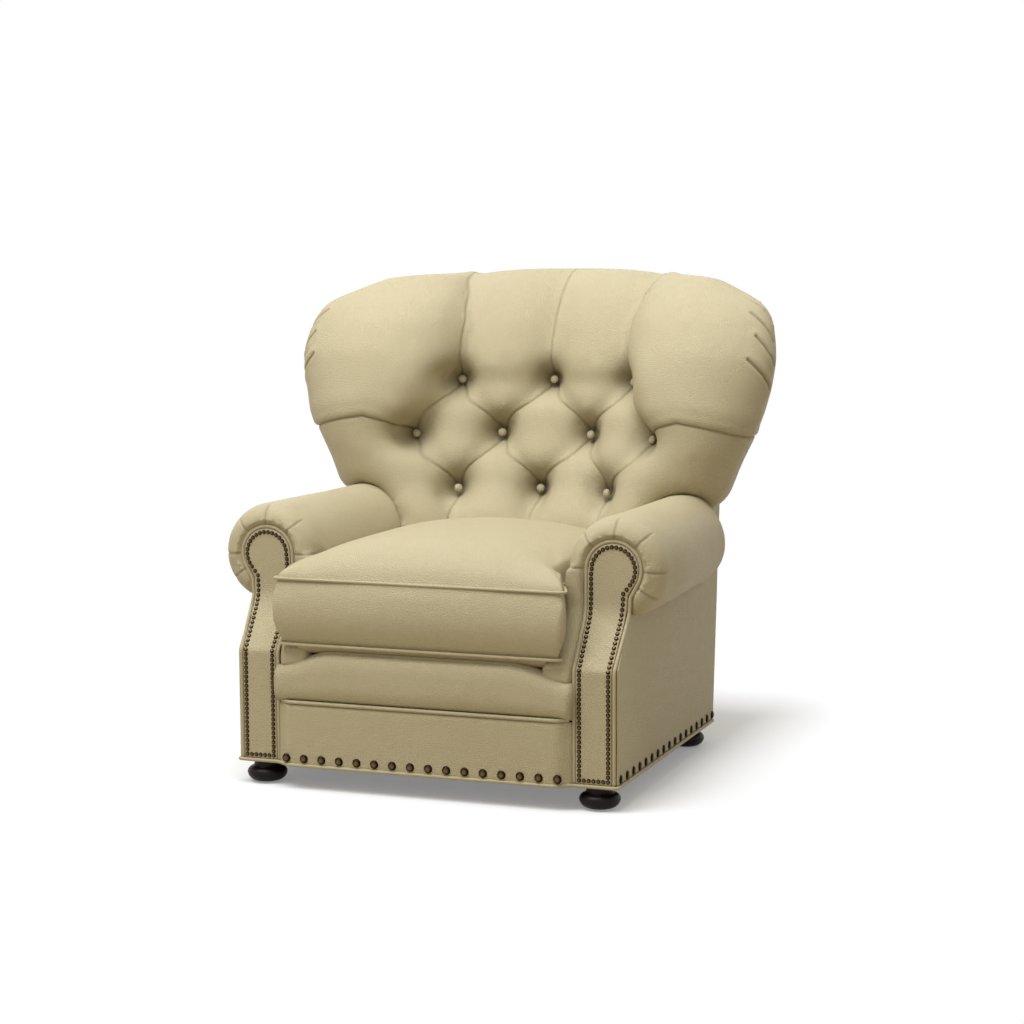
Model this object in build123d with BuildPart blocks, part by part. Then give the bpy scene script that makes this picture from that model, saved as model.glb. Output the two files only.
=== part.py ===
from build123d import *
import math
import os

# A barrel-backed, button-tufted leather armchair. X runs across the chair, -Y is its front,
# Z is up from the floor. Left and right are as seen from the front. Sizes are in millimetres.

# Plan of the base
FRONT_Y = -519.8              # face of the arm front panels at the bottom
BASE_HALF_WIDTH = 410.0       # outside faces of the side panels
BASE_DEPTH = 722.0            # from FRONT_Y to the outside back at the floor end
PANEL_BOTTOM = 54.0           # lower edge of the upholstered panels
SKIN = 4.0                    # leather and its backing card
CLEAR = 0.3                   # gap between neighbouring soft solids

# Feet
FOOT_X = 363.0
FOOT_FRONT_INSET = 36.0       # behind FRONT_Y
FOOT_REAR_INSET = 61.0        # in front of the base's rear face
FOOT_RADIUS = 41.5
FOOT_NECK_RADIUS = 27.0
FOOT_COLLAR = 4.0             # height of the collar under the frame
FOOT_COLLAR_STEP = 3.0        # the collar stands out from the neck
FOOT_SHOULDER_STEP = 4.0      # the top of the bun stands out from the neck
FRAME_BOTTOM = 52.0           # also the top of the feet
GLIDE_RADIUS = 14.0
GLIDE_HEIGHT = 3.0
BOLT_RADIUS = 4.0
BOLT_GRIP = 30.0              # length of the hanger bolt in the foot
BOLT_REACH = 45.0             # length of the hanger bolt in the frame
BOLT_FIT = 0.1

# Seat frame
RAIL_THICKNESS = 28.0
RAIL_HEIGHT = 120.0
STUMP_INNER_X = 322.0
STUMP_OUTER_X = 400.0
STUMP_BACK = 117.0            # back face of the arm stump, behind FRONT_Y
CORNER_BLOCK = 48.0
ARM_RAIL_BOTTOM = 392.0
ARM_RAIL_TOP = 452.0
ARM_RAIL_BACK = 18.0          # behind the base's rear face
DUST_COVER = 1.5

# Seat springs
SPRING_COUNT = 5
SPRING_SPACING = 98.0
SPRING_PITCH = 26.0
SPRING_HALF_WIDTH = 27.0
WIRE_RADIUS = 2.0
CLIP_THICKNESS = 1.2
CLIP_LENGTH = 22.0

# Arm front profile, seen from the side
CREASE_FORWARD = 3.0          # the panel's crease stands in front of FRONT_Y
CREASE_HEIGHT = 280.0
ARM_SETBACK = 72.0            # the upper arm stands behind FRONT_Y
SLOPE_TOP = 382.0
CREASE_ROUND = 18.0
SLOPE_ROUND = 70.0
PANEL_THICKNESS = 8.0

# Arm roll and inner arm
ROLL_X = 377.0
ROLL_Z = 471.0
ROLL_RADIUS = 104.0
ROLL_END_ROUND = 44.0
ROLL_PROUD = 6.0              # the roll's nose stands in front of the panel
ROLL_BACK = 82.0              # rear end of the roll, in front of the base's rear face
ARM_INNER_X = 273.0
ARM_PAD_BOTTOM = 257.0

# Keyhole panel on the arm front
KEY_INNER_X = 324.0
KEY_OUTER_X = 398.0
KEY_NECK_X = 407.0
KEY_NECK_Z = 420.0
KEY_HEAD_RADIUS = 52.0
HEAD_TURN = -38.0             # degrees, where the head's curve meets the neck
WELT_TURN = -30.0             # the same for the piping
KEY_ROOM = 60.0               # the cutting solids reach this far past the panel
WELT_RADIUS = 4.0
BASE_WELT_TURN = 7.0          # radius of the base welt's corners
POCKET_ROOM = 5.0             # the arm pad's pocket clears the piping

# Decorative nails
SMALL_NAIL_RADIUS = 4.6
SMALL_NAIL_PITCH = 9.6
SLOPE_NAIL_PITCH = 10.2       # wider, because the nails close up in the bend above
SMALL_NAIL_INSET = 7.2        # from the panel's edge
LARGE_NAIL_RADIUS = 9.2
LARGE_NAIL_PITCH = 42.0
FRONT_NAIL_PITCH = 39.06
LARGE_NAIL_Z = 64.0
NAIL_SHANK = 3.6
FRONT_NAIL_COUNT = 16
SIDE_NAIL_PITCH = 43.0
SIDE_NAIL_END = 12.0          # last side nail to the rear corner
SIDE_NAIL_START = 22.0        # first side nail behind FRONT_Y
REAR_NAIL_END = 20.0
HEAD_NAIL_SWEEP = 220.0       # degrees of the arm's head with nails

# Front border and seat deck
BORDER_BULGE = 20.0           # the front panel stands in front of FRONT_Y
BORDER_TOP = 180.0            # the welt between the front panel and the edge roll
EDGE_ROLL_TOP = 277.0
EDGE_ROLL_DEPTH = 92.0
EDGE_ROLL_SWELL = 7.0
EDGE_ROLL_SHOULDER = 38.0     # depth of its rounded upper edge
EDGE_ROLL_DROP = 32.0         # height of its rounded upper edge
BORDER_TAPER = 26.0           # length of each drawn-back end of the border
BORDER_ROUND = 24.0
BORDER_SETBACK = 2.0          # the welt and roll stand behind the panel's face
DECK_BACK = 42.0              # in front of the base's rear face

# Loose seat cushion
CUSHION_HALF_WIDTH = 270.5
CUSHION_EAR = 325.0           # half width in front of the arms
CUSHION_FRONT = 17.0          # in front of FRONT_Y
CUSHION_BACK = 126.0          # in front of the base's rear face
CUSHION_WELT_LOW = 300.0
CUSHION_WELT_HIGH = 434.0
CUSHION_CROWN = 76.0
CUSHION_EDGE_CROWN = 8.0
BOXING_SWELL = 8.0
COVER_THICKNESS = 2.0
CUSHION_WELT_RADIUS = 4.0
CUSHION_REAR_TUCK = 40.0      # the underside's drawn-in edges
CUSHION_FRONT_TUCK = 58.0
EAR_GAP = 4.0                 # between the ears and the arm fronts
ZIP_HALF_LENGTH = 220.0
ZIP_HEIGHT = 14.0
ZIP_THICKNESS = 1.2
ZIP_PULL = (12.0, 2.8, 8.0)   # length, thickness and height of the slider
ZIP_PULL_END = 10.0

# Tufted back: heights of the rows of buttons and their places across
ROW_HEIGHTS = (560.0, 682.0, 803.0)
LOW_BUTTON_X = 177.0
MID_BUTTON_X = 107.0
MID_OUTER_BUTTON_X = 281.0
TOP_BUTTON_X = 207.0
CREST_PLEAT_X = 240.0
BUTTON_RADIUS = 8.5
BUTTON_SEAT = 20.0            # a button sinks this far behind its pleats
PUFF = 30.0                   # the padding stands this far in front of its pleats
PUFF_SHARE = 0.26             # of a pleat's width, where it is narrow
PLEAT_GAP = 3.0
PLEAT_TAPER = 12.0            # the lower pleats draw in towards the seat
NECK_TAPER = 10.0             # the upper pleats draw in at NECK_HEIGHT
NECK_HEIGHT = 940.0
BUTTON_LEAN = 0.36            # buttons face upwards by this much
TUCK_SWELL = 1.0
TUCK_TOP = 452.0
TUCK_FRONT = 122.0            # in front of the base's rear face
CREST_HEIGHT = 1054.0
WING_SEAM = 690.0
WING_WRAP = 38.0              # the wing's back edge lies inside its widest line
BACK_SKIN = 6.0
SIDE_LEAN = 42.0              # the rear corner leans back by this much at SIDE_TOP
SIDE_TOP = 528.0
FOOT_END = 80.0               # the outside back is upright below this height

# Profiles of the back, as height and distance behind the base's rear face
PLEAT_LINE = ((455, -82), (560, -20), (682, 35), (803, 75), (870, 90), (940, 123), (985, 159),
              (1000, 174), (1036, 218), (1054, 263))
PAD_BACK_LINE = ((281, 13), (481, 46), (961, 197), (963, 296), (985, 330), (1000, 344), (1036, 336),
                 (1054, 308))
OUTSIDE_LINE = ((54, 0), (80, 0), (470, 106), (560, 128), (682, 173), (860, 240), (960, 290))

# Levels of the padding's and the outside back's cross sections
BACK_LEVELS = (281, 452, 481, 505, 560, 621, 682, 742.5, 803, 830, 870, 940, 961, 963, 985, 1000, 1036, 1054)
LOWER_WING_LEVELS = (455, 528, 556, 560, 620, 682)
UPPER_WING_LEVELS = (742, 803, 870, 940, 961, 963, 985, 1036)
OUTSIDE_LEVELS = (54, 80, 300, 470, 528, 556, 620, 690, 742, 803, 870, 940, 960)

# Width of the barrel's curve: twice its radius, by height
BARREL_WIDTH = ((455, 505), (560, 505), (682, 705), (803, 840), (1054, 860))

# Wing outline, as height, half width, and distance behind the base's rear face of its widest line and
# of its back edge
WING_EDGE = ((455, 402, -82, 18), (528, 402, -90, 30), (556, 452, -103, 33), (620, 480, -95, 30),
             (690, 512, -95, 26), (742, 529, -94, 22), (803, 545, -92, 20), (870, 553, -80, 28),
             (940, 539, -52, 52), (961, 529, -41, 63), (963, 528, -40, 64), (985, 511, -28, 76),
             (1036, 400, 30, 130))
# Wing ridge, as height, place across and distance behind the base's rear face of its foremost line
WING_RIDGE = ((455, 350, -160), (560, 335, -160), (620, 345, -166), (690, 366, -166), (742, 376, -170),
              (803, 385, -162), (870, 388, -142), (940, 380, -94), (985, 362, -40), (1036, 325, 63))

# Back frame
POST_INNER_X = 232.0
POST_WIDTH = 40.0
POST_DEPTH = 40.0
POST_BEND = 430.0
CREST_RAIL_BOTTOM = 930.0
CREST_RAIL_TOP = 984.0
CREST_RAIL_HALF = 400.0
CREST_RAIL_SAG = 166.0
CREST_RAIL_DEPTH = 40.0
CREST_RAIL_FRONT = 206.8      # behind the base's rear face
LOWER_RAIL_BOTTOM = 432.0
LOWER_RAIL_HEIGHT = 50.0
LOWER_RAIL_DEPTH = 30.0
LOWER_RAIL_FRONT = 51.0       # behind the base's rear face
WEB_WIDTH = 45.0
WEB_THICKNESS = 2.0
WEB_SPACING = 95.0
WING_POST = 30.0
WING_POST_INSET = 6.0         # from the end of the arm rail
WING_HEAD_INSET = 2.0         # from the end of the crest rail
WEB_SPREAD = 1.6              # the webbing fans out towards the crest
WEB_EASE = 2.4                # middle of the webbing to the rails' faces
WEB_END = 24.0                # webbing stops under the crest rail's top
POST_EASE = 4.0               # the posts stand behind the padding

# Places worked out from the sizes above
REAR_Y = FRONT_Y + BASE_DEPTH
FOOT_FRONT_Y = FRONT_Y + FOOT_FRONT_INSET
FOOT_REAR_Y = REAR_Y - FOOT_REAR_INSET
RAIL_TOP = FRAME_BOTTOM + RAIL_HEIGHT
RAIL_OUTER_X = BASE_HALF_WIDTH - SKIN
ARM_FACE_Y = FRONT_Y + ARM_SETBACK
BORDER_FRONT_Y = FRONT_Y - BORDER_BULGE
BORDER_HALF_WIDTH = KEY_INNER_X - 2 * WELT_RADIUS - 2 * CLEAR
FRONT_RAIL_Y = FRONT_Y + PANEL_THICKNESS + CLEAR
REAR_RAIL_Y = REAR_Y - BACK_SKIN - RAIL_THICKNESS - CLEAR
DECK_BOTTOM = RAIL_TOP + 2 * WIRE_RADIUS + CLIP_THICKNESS + 2 * CLEAR
SEAT_LEVEL = EDGE_ROLL_TOP + CLEAR
BORDER_SHOULDER = BORDER_HALF_WIDTH - BORDER_TAPER

pieces = {}


def keep(name, part):
    part.label = name
    export_step(part, f"parts/{name}.step")
    pieces[name] = part


def table(rows, height, column=1):
    """Value of one column at a height, straight between the rows."""
    if height <= rows[0][0]:
        return rows[0][column]
    for low, high in zip(rows, rows[1:]):
        if height <= high[0]:
            share = (height - low[0]) / (high[0] - low[0])
            return low[column] + share * (high[column] - low[column])
    return rows[-1][column]


def block(x_range, y_range, z_range):
    """A box between two corners."""
    centre = tuple((low + high) / 2 for low, high in (x_range, y_range, z_range))
    size = [high - low for low, high in (x_range, y_range, z_range)]
    with Locations(centre):
        Box(*size)


def keep_pair(name, right):
    """Writes a right-hand piece and its mirror image on the left."""
    with BuildPart() as left:
        mirror(right, about=Plane.YZ)
    keep(f"right_{name}", right)
    keep(f"left_{name}", left.part)


def arm_front_line(shift, top):
    """The arm's front profile in the YZ plane, moved back by a shift."""
    FilletPolyline(
        (FRONT_Y + shift, FRAME_BOTTOM),
        (FRONT_Y - CREASE_FORWARD + shift, CREASE_HEIGHT),
        (ARM_FACE_Y + shift, SLOPE_TOP),
        (ARM_FACE_Y + shift, top),
        radius=(CREASE_ROUND, SLOPE_ROUND),
    )


def behind_arm_front(shift, back, x_range, z_range):
    """Solid behind the arm's front profile, back to a flat face."""
    top = ROLL_Z + 2 * ROLL_RADIUS
    with BuildPart() as solid:
        with BuildSketch(Plane.YZ.offset(x_range[0])):
            with BuildLine():
                arm_front_line(shift, top)
                Polyline((ARM_FACE_Y + shift, top), (back, top), (back, FRAME_BOTTOM),
                         (FRONT_Y + shift, FRAME_BOTTOM))
            make_face()
        extrude(amount=x_range[1] - x_range[0])
        with Locations((sum(x_range) / 2, 0, sum(z_range) / 2)):
            Box(x_range[1] - x_range[0], 4 * BASE_DEPTH, z_range[1] - z_range[0], mode=Mode.INTERSECT)
    return solid.part


def keyhole(grow):
    """Outline of the arm front panel in the XZ plane, grown all round."""
    head = KEY_HEAD_RADIUS + grow
    turn = math.radians(HEAD_TURN)
    low_head = (ROLL_X + head * math.cos(turn), ROLL_Z + head * math.sin(turn))
    with BuildSketch(Plane.XZ) as outline:
        with BuildLine():
            Polyline((ROLL_X - head, ROLL_Z), (KEY_INNER_X - grow, ROLL_Z),
                     (KEY_INNER_X - grow, PANEL_BOTTOM), (KEY_OUTER_X + grow, PANEL_BOTTOM),
                     (KEY_OUTER_X + grow, CREASE_HEIGHT),
                     (KEY_NECK_X + grow, KEY_NECK_Z), low_head)
            slant = head * math.sqrt(0.5)
            top = (ROLL_X, ROLL_Z + head)
            ThreePointArc(low_head, (ROLL_X + slant, ROLL_Z + slant), top)
            ThreePointArc(top, (ROLL_X - slant, ROLL_Z + slant), (ROLL_X - head, ROLL_Z))
        make_face()
    return outline.sketch


def arm_face_y(height):
    """The arm front profile's Y at a height, by its straight runs."""
    runs = ((FRAME_BOTTOM, FRONT_Y), (CREASE_HEIGHT, FRONT_Y - CREASE_FORWARD), (SLOPE_TOP, ARM_FACE_Y),
            (2 * SLOPE_TOP, ARM_FACE_Y))
    return table(runs, height)


os.makedirs("parts", exist_ok=True)

# Turned bun feet with their glides and hanger bolts
def bun_foot(x, y):
    with BuildPart() as foot:
        with BuildSketch(Plane.XZ.offset(-y)):
            with BuildLine():
                widest = GLIDE_HEIGHT + 0.33 * (FRAME_BOTTOM - GLIDE_HEIGHT)
                bun_top = GLIDE_HEIGHT + 0.58 * (FRAME_BOTTOM - GLIDE_HEIGHT)
                base = 0.66 * FOOT_RADIUS
                shoulder = FOOT_NECK_RADIUS + FOOT_SHOULDER_STEP
                collar = FOOT_NECK_RADIUS + FOOT_COLLAR_STEP
                collar_z = FRAME_BOTTOM - FOOT_COLLAR
                neck_z = (bun_top + collar_z) / 2
                Polyline((x, bun_top), (x, GLIDE_HEIGHT), (x + base, GLIDE_HEIGHT))
                TangentArc((x + base, GLIDE_HEIGHT), (x + FOOT_RADIUS, widest), tangent=(1, 0.3))
                TangentArc((x + FOOT_RADIUS, widest), (x + shoulder, bun_top), tangent=(0, 1))
                ThreePointArc((x + shoulder, bun_top), (x + FOOT_NECK_RADIUS, neck_z), (x + collar, collar_z))
                Polyline((x + collar, collar_z), (x + collar, FRAME_BOTTOM), (x, FRAME_BOTTOM), (x, bun_top))
            make_face()
        revolve(axis=Axis((x, y, 0), (0, 0, 1)))
        with Locations((x, y, FRAME_BOTTOM - BOLT_GRIP / 2)):
            Cylinder(BOLT_RADIUS + BOLT_FIT, BOLT_GRIP, mode=Mode.SUBTRACT)
    return foot.part


keep_pair("front_foot", bun_foot(FOOT_X, FOOT_FRONT_Y))
keep_pair("rear_foot", bun_foot(FOOT_X, FOOT_REAR_Y))

foot_places = [(x, y) for x in (-FOOT_X, FOOT_X) for y in (FOOT_FRONT_Y, FOOT_REAR_Y)]
with BuildPart() as foot_glides:
    with Locations(*[(x, y, GLIDE_HEIGHT / 2) for x, y in foot_places]):
        Cylinder(GLIDE_RADIUS, GLIDE_HEIGHT)
    chamfer(foot_glides.edges().group_by(Axis.Z)[0], GLIDE_HEIGHT / 3)
keep("foot_glides", foot_glides.part)

with BuildPart() as foot_bolts:
    middle = FRAME_BOTTOM + (BOLT_REACH - BOLT_GRIP) / 2
    with Locations(*[(x, y, middle) for x, y in foot_places]):
        Cylinder(BOLT_RADIUS, BOLT_REACH + BOLT_GRIP)
keep("foot_hanger_bolts", foot_bolts.part)

# Hardwood seat frame
with BuildPart() as front_rail:
    block((-STUMP_INNER_X, STUMP_INNER_X), (FRONT_RAIL_Y, FRONT_RAIL_Y + RAIL_THICKNESS),
          (FRAME_BOTTOM, RAIL_TOP))
keep("front_seat_rail", front_rail.part)

with BuildPart() as rear_rail:
    block((-RAIL_OUTER_X, RAIL_OUTER_X), (REAR_RAIL_Y, REAR_RAIL_Y + RAIL_THICKNESS),
          (FRAME_BOTTOM, RAIL_TOP))
keep("rear_seat_rail", rear_rail.part)

with BuildPart() as side_rail:
    block((RAIL_OUTER_X - RAIL_THICKNESS, RAIL_OUTER_X), (FRONT_Y + STUMP_BACK, REAR_RAIL_Y),
          (FRAME_BOTTOM, RAIL_TOP))
keep_pair("seat_rail", side_rail.part)

with BuildPart() as corner_blocks:
    for side in (-1, 1):
        outer = RAIL_OUTER_X - RAIL_THICKNESS
        inner = outer - 2 * CORNER_BLOCK
        with BuildSketch(Plane.XY.offset(FRAME_BOTTOM)):
            with BuildLine():
                Polyline((side * outer, REAR_RAIL_Y), (side * inner, REAR_RAIL_Y),
                         (side * outer, REAR_RAIL_Y - 2 * CORNER_BLOCK), close=True)
            make_face()
        extrude(amount=RAIL_HEIGHT / 2)
    with Locations((-FOOT_X, FOOT_REAR_Y, FRAME_BOTTOM), (FOOT_X, FOOT_REAR_Y, FRAME_BOTTOM)):
        Cylinder(BOLT_RADIUS + BOLT_FIT, 2 * BOLT_REACH, mode=Mode.SUBTRACT)
keep("rear_corner_blocks", corner_blocks.part)

with BuildPart() as arm_stump:
    add(behind_arm_front(PANEL_THICKNESS, FRONT_Y + STUMP_BACK, (STUMP_INNER_X, STUMP_OUTER_X),
                         (FRAME_BOTTOM, ARM_RAIL_BOTTOM)))
    with Locations((FOOT_X, FOOT_FRONT_Y, FRAME_BOTTOM)):
        Cylinder(BOLT_RADIUS + BOLT_FIT, 2 * BOLT_REACH, mode=Mode.SUBTRACT)
keep_pair("arm_stump", arm_stump.part)

with BuildPart() as arm_rail:
    block((STUMP_INNER_X, STUMP_OUTER_X), (ARM_FACE_Y + PANEL_THICKNESS, REAR_Y + ARM_RAIL_BACK),
          (ARM_RAIL_BOTTOM, ARM_RAIL_TOP))
keep_pair("arm_rail", arm_rail.part)

with BuildPart() as dust_cover:
    block((1 - RAIL_OUTER_X, RAIL_OUTER_X - 1), (FRONT_RAIL_Y, REAR_RAIL_Y + RAIL_THICKNESS),
          (FRAME_BOTTOM - DUST_COVER, FRAME_BOTTOM))
    with Locations(*[(x, y, FRAME_BOTTOM) for x, y in foot_places]):
        Cylinder(FOOT_NECK_RADIUS + FOOT_COLLAR, 4 * DUST_COVER, mode=Mode.SUBTRACT)
keep("dust_cover", dust_cover.part)

# Sinuous seat springs and their clips
spring_front = FRONT_RAIL_Y + RAIL_THICKNESS / 2
spring_back = REAR_RAIL_Y + RAIL_THICKNESS / 2
spring_passes = 2 * round((spring_back - spring_front) / SPRING_PITCH / 2)
spring_step = (spring_back - spring_front) / spring_passes
spring_z = RAIL_TOP + WIRE_RADIUS + 0.05
with BuildPart() as spring:
    with BuildLine(Plane.XY.offset(spring_z)) as wire:
        turn = spring_step / 2
        reach = SPRING_HALF_WIDTH - turn
        for index in range(spring_passes + 1):
            y = spring_front + index * spring_step
            side = 1 if index % 2 == 0 else -1
            Line((-side * reach, y), (side * reach, y))
            if index < spring_passes:
                ThreePointArc((side * reach, y), (side * (reach + turn), y + turn),
                              (side * reach, y + spring_step))
    with BuildSketch(Plane(wire.wires()[0] @ 0, z_dir=wire.wires()[0] % 0)):
        Circle(WIRE_RADIUS)
    sweep(path=wire.wires()[0])

spring_xs = [(index - (SPRING_COUNT - 1) / 2) * SPRING_SPACING for index in range(SPRING_COUNT)]
with BuildPart() as seat_springs:
    with Locations(*[(x, 0, 0) for x in spring_xs]):
        add(spring.part)
keep("seat_springs", seat_springs.part)

with BuildPart() as spring_clips:
    height = 2 * WIRE_RADIUS + 0.1 + CLIP_THICKNESS
    ends = [(x, y, RAIL_TOP + height / 2) for x in spring_xs for y in (spring_front, spring_back)]
    with Locations(*ends):
        Box(CLIP_LENGTH, 4 * WIRE_RADIUS + 2 * CLIP_THICKNESS, height)
        with Locations((0, 0, -CLIP_THICKNESS / 2)):
            Box(CLIP_LENGTH, 4 * WIRE_RADIUS, height - CLIP_THICKNESS, mode=Mode.SUBTRACT)
keep("spring_clips", spring_clips.part)

# Front border: flat lower panel, welt and soft edge roll
def border_plan(front):
    """Plan of the front border, with its ends drawn back to the arm panels."""
    back = FRONT_RAIL_Y
    end = front + BORDER_BULGE
    half, shoulder = BORDER_HALF_WIDTH, BORDER_SHOULDER
    rounds = (BORDER_ROUND / 8, BORDER_ROUND, BORDER_ROUND, BORDER_ROUND / 8)
    with BuildSketch(Plane.XY.offset(PANEL_BOTTOM)) as plan:
        with BuildLine():
            FilletPolyline((-half, back), (-half, end), (-shoulder, front), (shoulder, front), (half, end),
                           (half, back), radius=rounds)
            Line((half, back), (-half, back))
        make_face()
    return plan.sketch


with BuildPart() as front_panel:
    extrude(border_plan(BORDER_FRONT_Y), amount=BORDER_TOP - WELT_RADIUS - PANEL_BOTTOM)
keep("front_panel", front_panel.part)

roll_front = BORDER_FRONT_Y + BORDER_SETBACK
with BuildPart() as edge_roll:
    with BuildSketch(Plane.YZ.offset(-BORDER_HALF_WIDTH)):
        with BuildLine():
            middle = (DECK_BOTTOM + EDGE_ROLL_TOP) / 2
            shoulder = roll_front + EDGE_ROLL_SHOULDER
            drop_z = EDGE_ROLL_TOP - EDGE_ROLL_DROP
            step_y = FRONT_RAIL_Y + 2 * CLEAR
            seam_z = BORDER_TOP + WELT_RADIUS + CLEAR
            Polyline((roll_front + EDGE_ROLL_DEPTH, DECK_BOTTOM), (step_y, DECK_BOTTOM), (step_y, seam_z),
                     (roll_front, seam_z))
            ThreePointArc((roll_front, seam_z), (roll_front - EDGE_ROLL_SWELL, middle), (roll_front, drop_z))
            TangentArc((roll_front, drop_z), (shoulder, EDGE_ROLL_TOP), tangent=(0.15, 1))
            Polyline((shoulder, EDGE_ROLL_TOP), (roll_front + EDGE_ROLL_DEPTH, EDGE_ROLL_TOP),
                     (roll_front + EDGE_ROLL_DEPTH, DECK_BOTTOM))
        make_face()
    extrude(amount=2 * BORDER_HALF_WIDTH)
    for side in (-1, 1):
        x_low, x_high = sorted((side * (ARM_INNER_X - 1), side * (BORDER_HALF_WIDTH + 1)))
        notch_z = ARM_PAD_BOTTOM - CLEAR + EDGE_ROLL_DEPTH / 2
        with Locations(((x_low + x_high) / 2, roll_front + EDGE_ROLL_DEPTH / 2, notch_z)):
            Box(x_high - x_low, 2 * EDGE_ROLL_DEPTH, EDGE_ROLL_DEPTH, mode=Mode.SUBTRACT)
keep("front_edge_roll", edge_roll.part)

# Piping along the front border and round the foot of the chair
def piping(path, radius):
    """A round welt along a wire."""
    with BuildPart() as tube:
        with BuildSketch(Plane(path @ 0, z_dir=path % 0)):
            Circle(radius)
        sweep(path=path)
    return tube.part


with BuildLine(Plane.XY.offset(BORDER_TOP)) as border_line:
    welt_end = roll_front + BORDER_BULGE - WELT_RADIUS
    end_x = BORDER_HALF_WIDTH - WELT_RADIUS
    FilletPolyline((-end_x, welt_end), (-BORDER_SHOULDER, roll_front), (BORDER_SHOULDER, roll_front),
                   (end_x, welt_end), radius=BORDER_ROUND)
keep("front_border_welt", piping(border_line.wires()[0], WELT_RADIUS))

base_welt_z = PANEL_BOTTOM - WELT_RADIUS - CLEAR / 2
with BuildLine(Plane.XY.offset(base_welt_z)) as base_line:
    side_x = BASE_HALF_WIDTH + CLEAR
    shoulder, nose_y = BORDER_SHOULDER, BORDER_FRONT_Y
    end_x = BORDER_HALF_WIDTH + WELT_RADIUS
    FilletPolyline((-shoulder, nose_y), (shoulder, nose_y), (end_x, FRONT_Y), (side_x, FRONT_Y),
                   (side_x, REAR_Y), (-side_x, REAR_Y), (-side_x, FRONT_Y), (-end_x, FRONT_Y),
                   (-shoulder, nose_y), radius=BASE_WELT_TURN, close=False)
keep("base_welt", piping(base_line.wires()[0], WELT_RADIUS))

with BuildPart() as seat_deck:
    block((-ARM_INNER_X + 1, ARM_INNER_X - 1), (roll_front + EDGE_ROLL_DEPTH, REAR_Y - DECK_BACK),
          (DECK_BOTTOM, EDGE_ROLL_TOP))
keep("seat_deck", seat_deck.part)

# Arms: padded roll with the inner arm, keyhole front panel, piping and nails
with BuildPart() as pocket_shape:
    with BuildSketch(Plane.XZ.offset(-FRONT_Y - ARM_SETBACK - PANEL_THICKNESS)):
        add(keyhole(2 * WELT_RADIUS + POCKET_ROOM))
    extrude(amount=2 * ARM_SETBACK + PANEL_THICKNESS)
panel_pocket = pocket_shape.part - behind_arm_front(
    PANEL_THICKNESS + 4 * CLEAR, REAR_Y, (KEY_INNER_X - KEY_ROOM, KEY_OUTER_X + KEY_ROOM),
    (FRAME_BOTTOM, ROLL_Z + 2 * KEY_HEAD_RADIUS))

roll_nose_y = ARM_FACE_Y - ROLL_PROUD
roll_end_y = REAR_Y - ROLL_BACK
with BuildPart() as arm_pad:
    with BuildSketch(Plane.XZ.offset(-roll_end_y)):
        with Locations((ROLL_X, ROLL_Z)):
            Circle(ROLL_RADIUS)
    extrude(amount=roll_end_y - roll_nose_y)
    fillet(arm_pad.edges().filter_by(GeomType.CIRCLE), ROLL_END_ROUND)
    add(behind_arm_front(-ROLL_PROUD, roll_end_y - ROLL_END_ROUND, (ARM_INNER_X, STUMP_INNER_X),
                         (ARM_PAD_BOTTOM, ROLL_Z)))
    block_low = ROLL_Z - ROLL_RADIUS - 1
    with Locations(((STUMP_INNER_X + RAIL_OUTER_X) / 2, 0, (block_low + ARM_RAIL_TOP) / 2)):
        Box(RAIL_OUTER_X - STUMP_INNER_X, 4 * BASE_DEPTH, ARM_RAIL_TOP - block_low, mode=Mode.SUBTRACT)
    add(panel_pocket, mode=Mode.SUBTRACT)
keep_pair("arm_pad", arm_pad.part)

with BuildPart() as arm_panel:
    with BuildSketch(Plane.XZ.offset(-FRONT_Y - 2 * ARM_SETBACK)):
        add(keyhole(0))
    extrude(amount=4 * ARM_SETBACK)
    add(behind_arm_front(0, REAR_Y, (KEY_INNER_X - KEY_ROOM, KEY_OUTER_X + KEY_ROOM),
                         (PANEL_BOTTOM, ROLL_Z + 2 * KEY_HEAD_RADIUS)), mode=Mode.INTERSECT)
    add(behind_arm_front(PANEL_THICKNESS, REAR_Y, (KEY_INNER_X - 2 * KEY_ROOM, KEY_OUTER_X + 2 * KEY_ROOM),
                         (FRAME_BOTTOM, ROLL_Z + 4 * KEY_HEAD_RADIUS)), mode=Mode.SUBTRACT)
keep_pair("arm_front_panel", arm_panel.part)

welt_shift = PANEL_THICKNESS / 2 - CLEAR
welt_grow = WELT_RADIUS + CLEAR / 2
welt_head = KEY_HEAD_RADIUS + welt_grow


def welt_point(degrees):
    """A point of the piping round the arm's head."""
    angle = math.radians(degrees)
    across, up = welt_head * math.cos(angle), welt_head * math.sin(angle)
    return (ROLL_X + across, ARM_FACE_Y + welt_shift, ROLL_Z + up)


head_low = welt_point(WELT_TURN)
with BuildLine() as welt_line:
    inner_x = KEY_INNER_X - welt_grow
    outer_x = KEY_OUTER_X + welt_grow
    face_y = ARM_FACE_Y + welt_shift
    crease_y = FRONT_Y - CREASE_FORWARD + welt_shift
    neck_x = KEY_NECK_X + welt_grow
    FilletPolyline((inner_x, FRONT_Y + welt_shift, PANEL_BOTTOM), (inner_x, crease_y, CREASE_HEIGHT),
                   (inner_x, face_y, SLOPE_TOP), (inner_x, face_y, ROLL_Z),
                   radius=(CREASE_ROUND, SLOPE_ROUND))
    ThreePointArc((inner_x, face_y, ROLL_Z), welt_point(135), welt_point(90))
    ThreePointArc(welt_point(90), welt_point(30), head_low)
    FilletPolyline(head_low, (neck_x, face_y, KEY_NECK_Z - 4), (neck_x - 2, face_y, SLOPE_TOP),
                   (outer_x, crease_y, CREASE_HEIGHT), (outer_x, FRONT_Y + welt_shift, PANEL_BOTTOM),
                   radius=(6, SLOPE_ROUND / 4, CREASE_ROUND))
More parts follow.
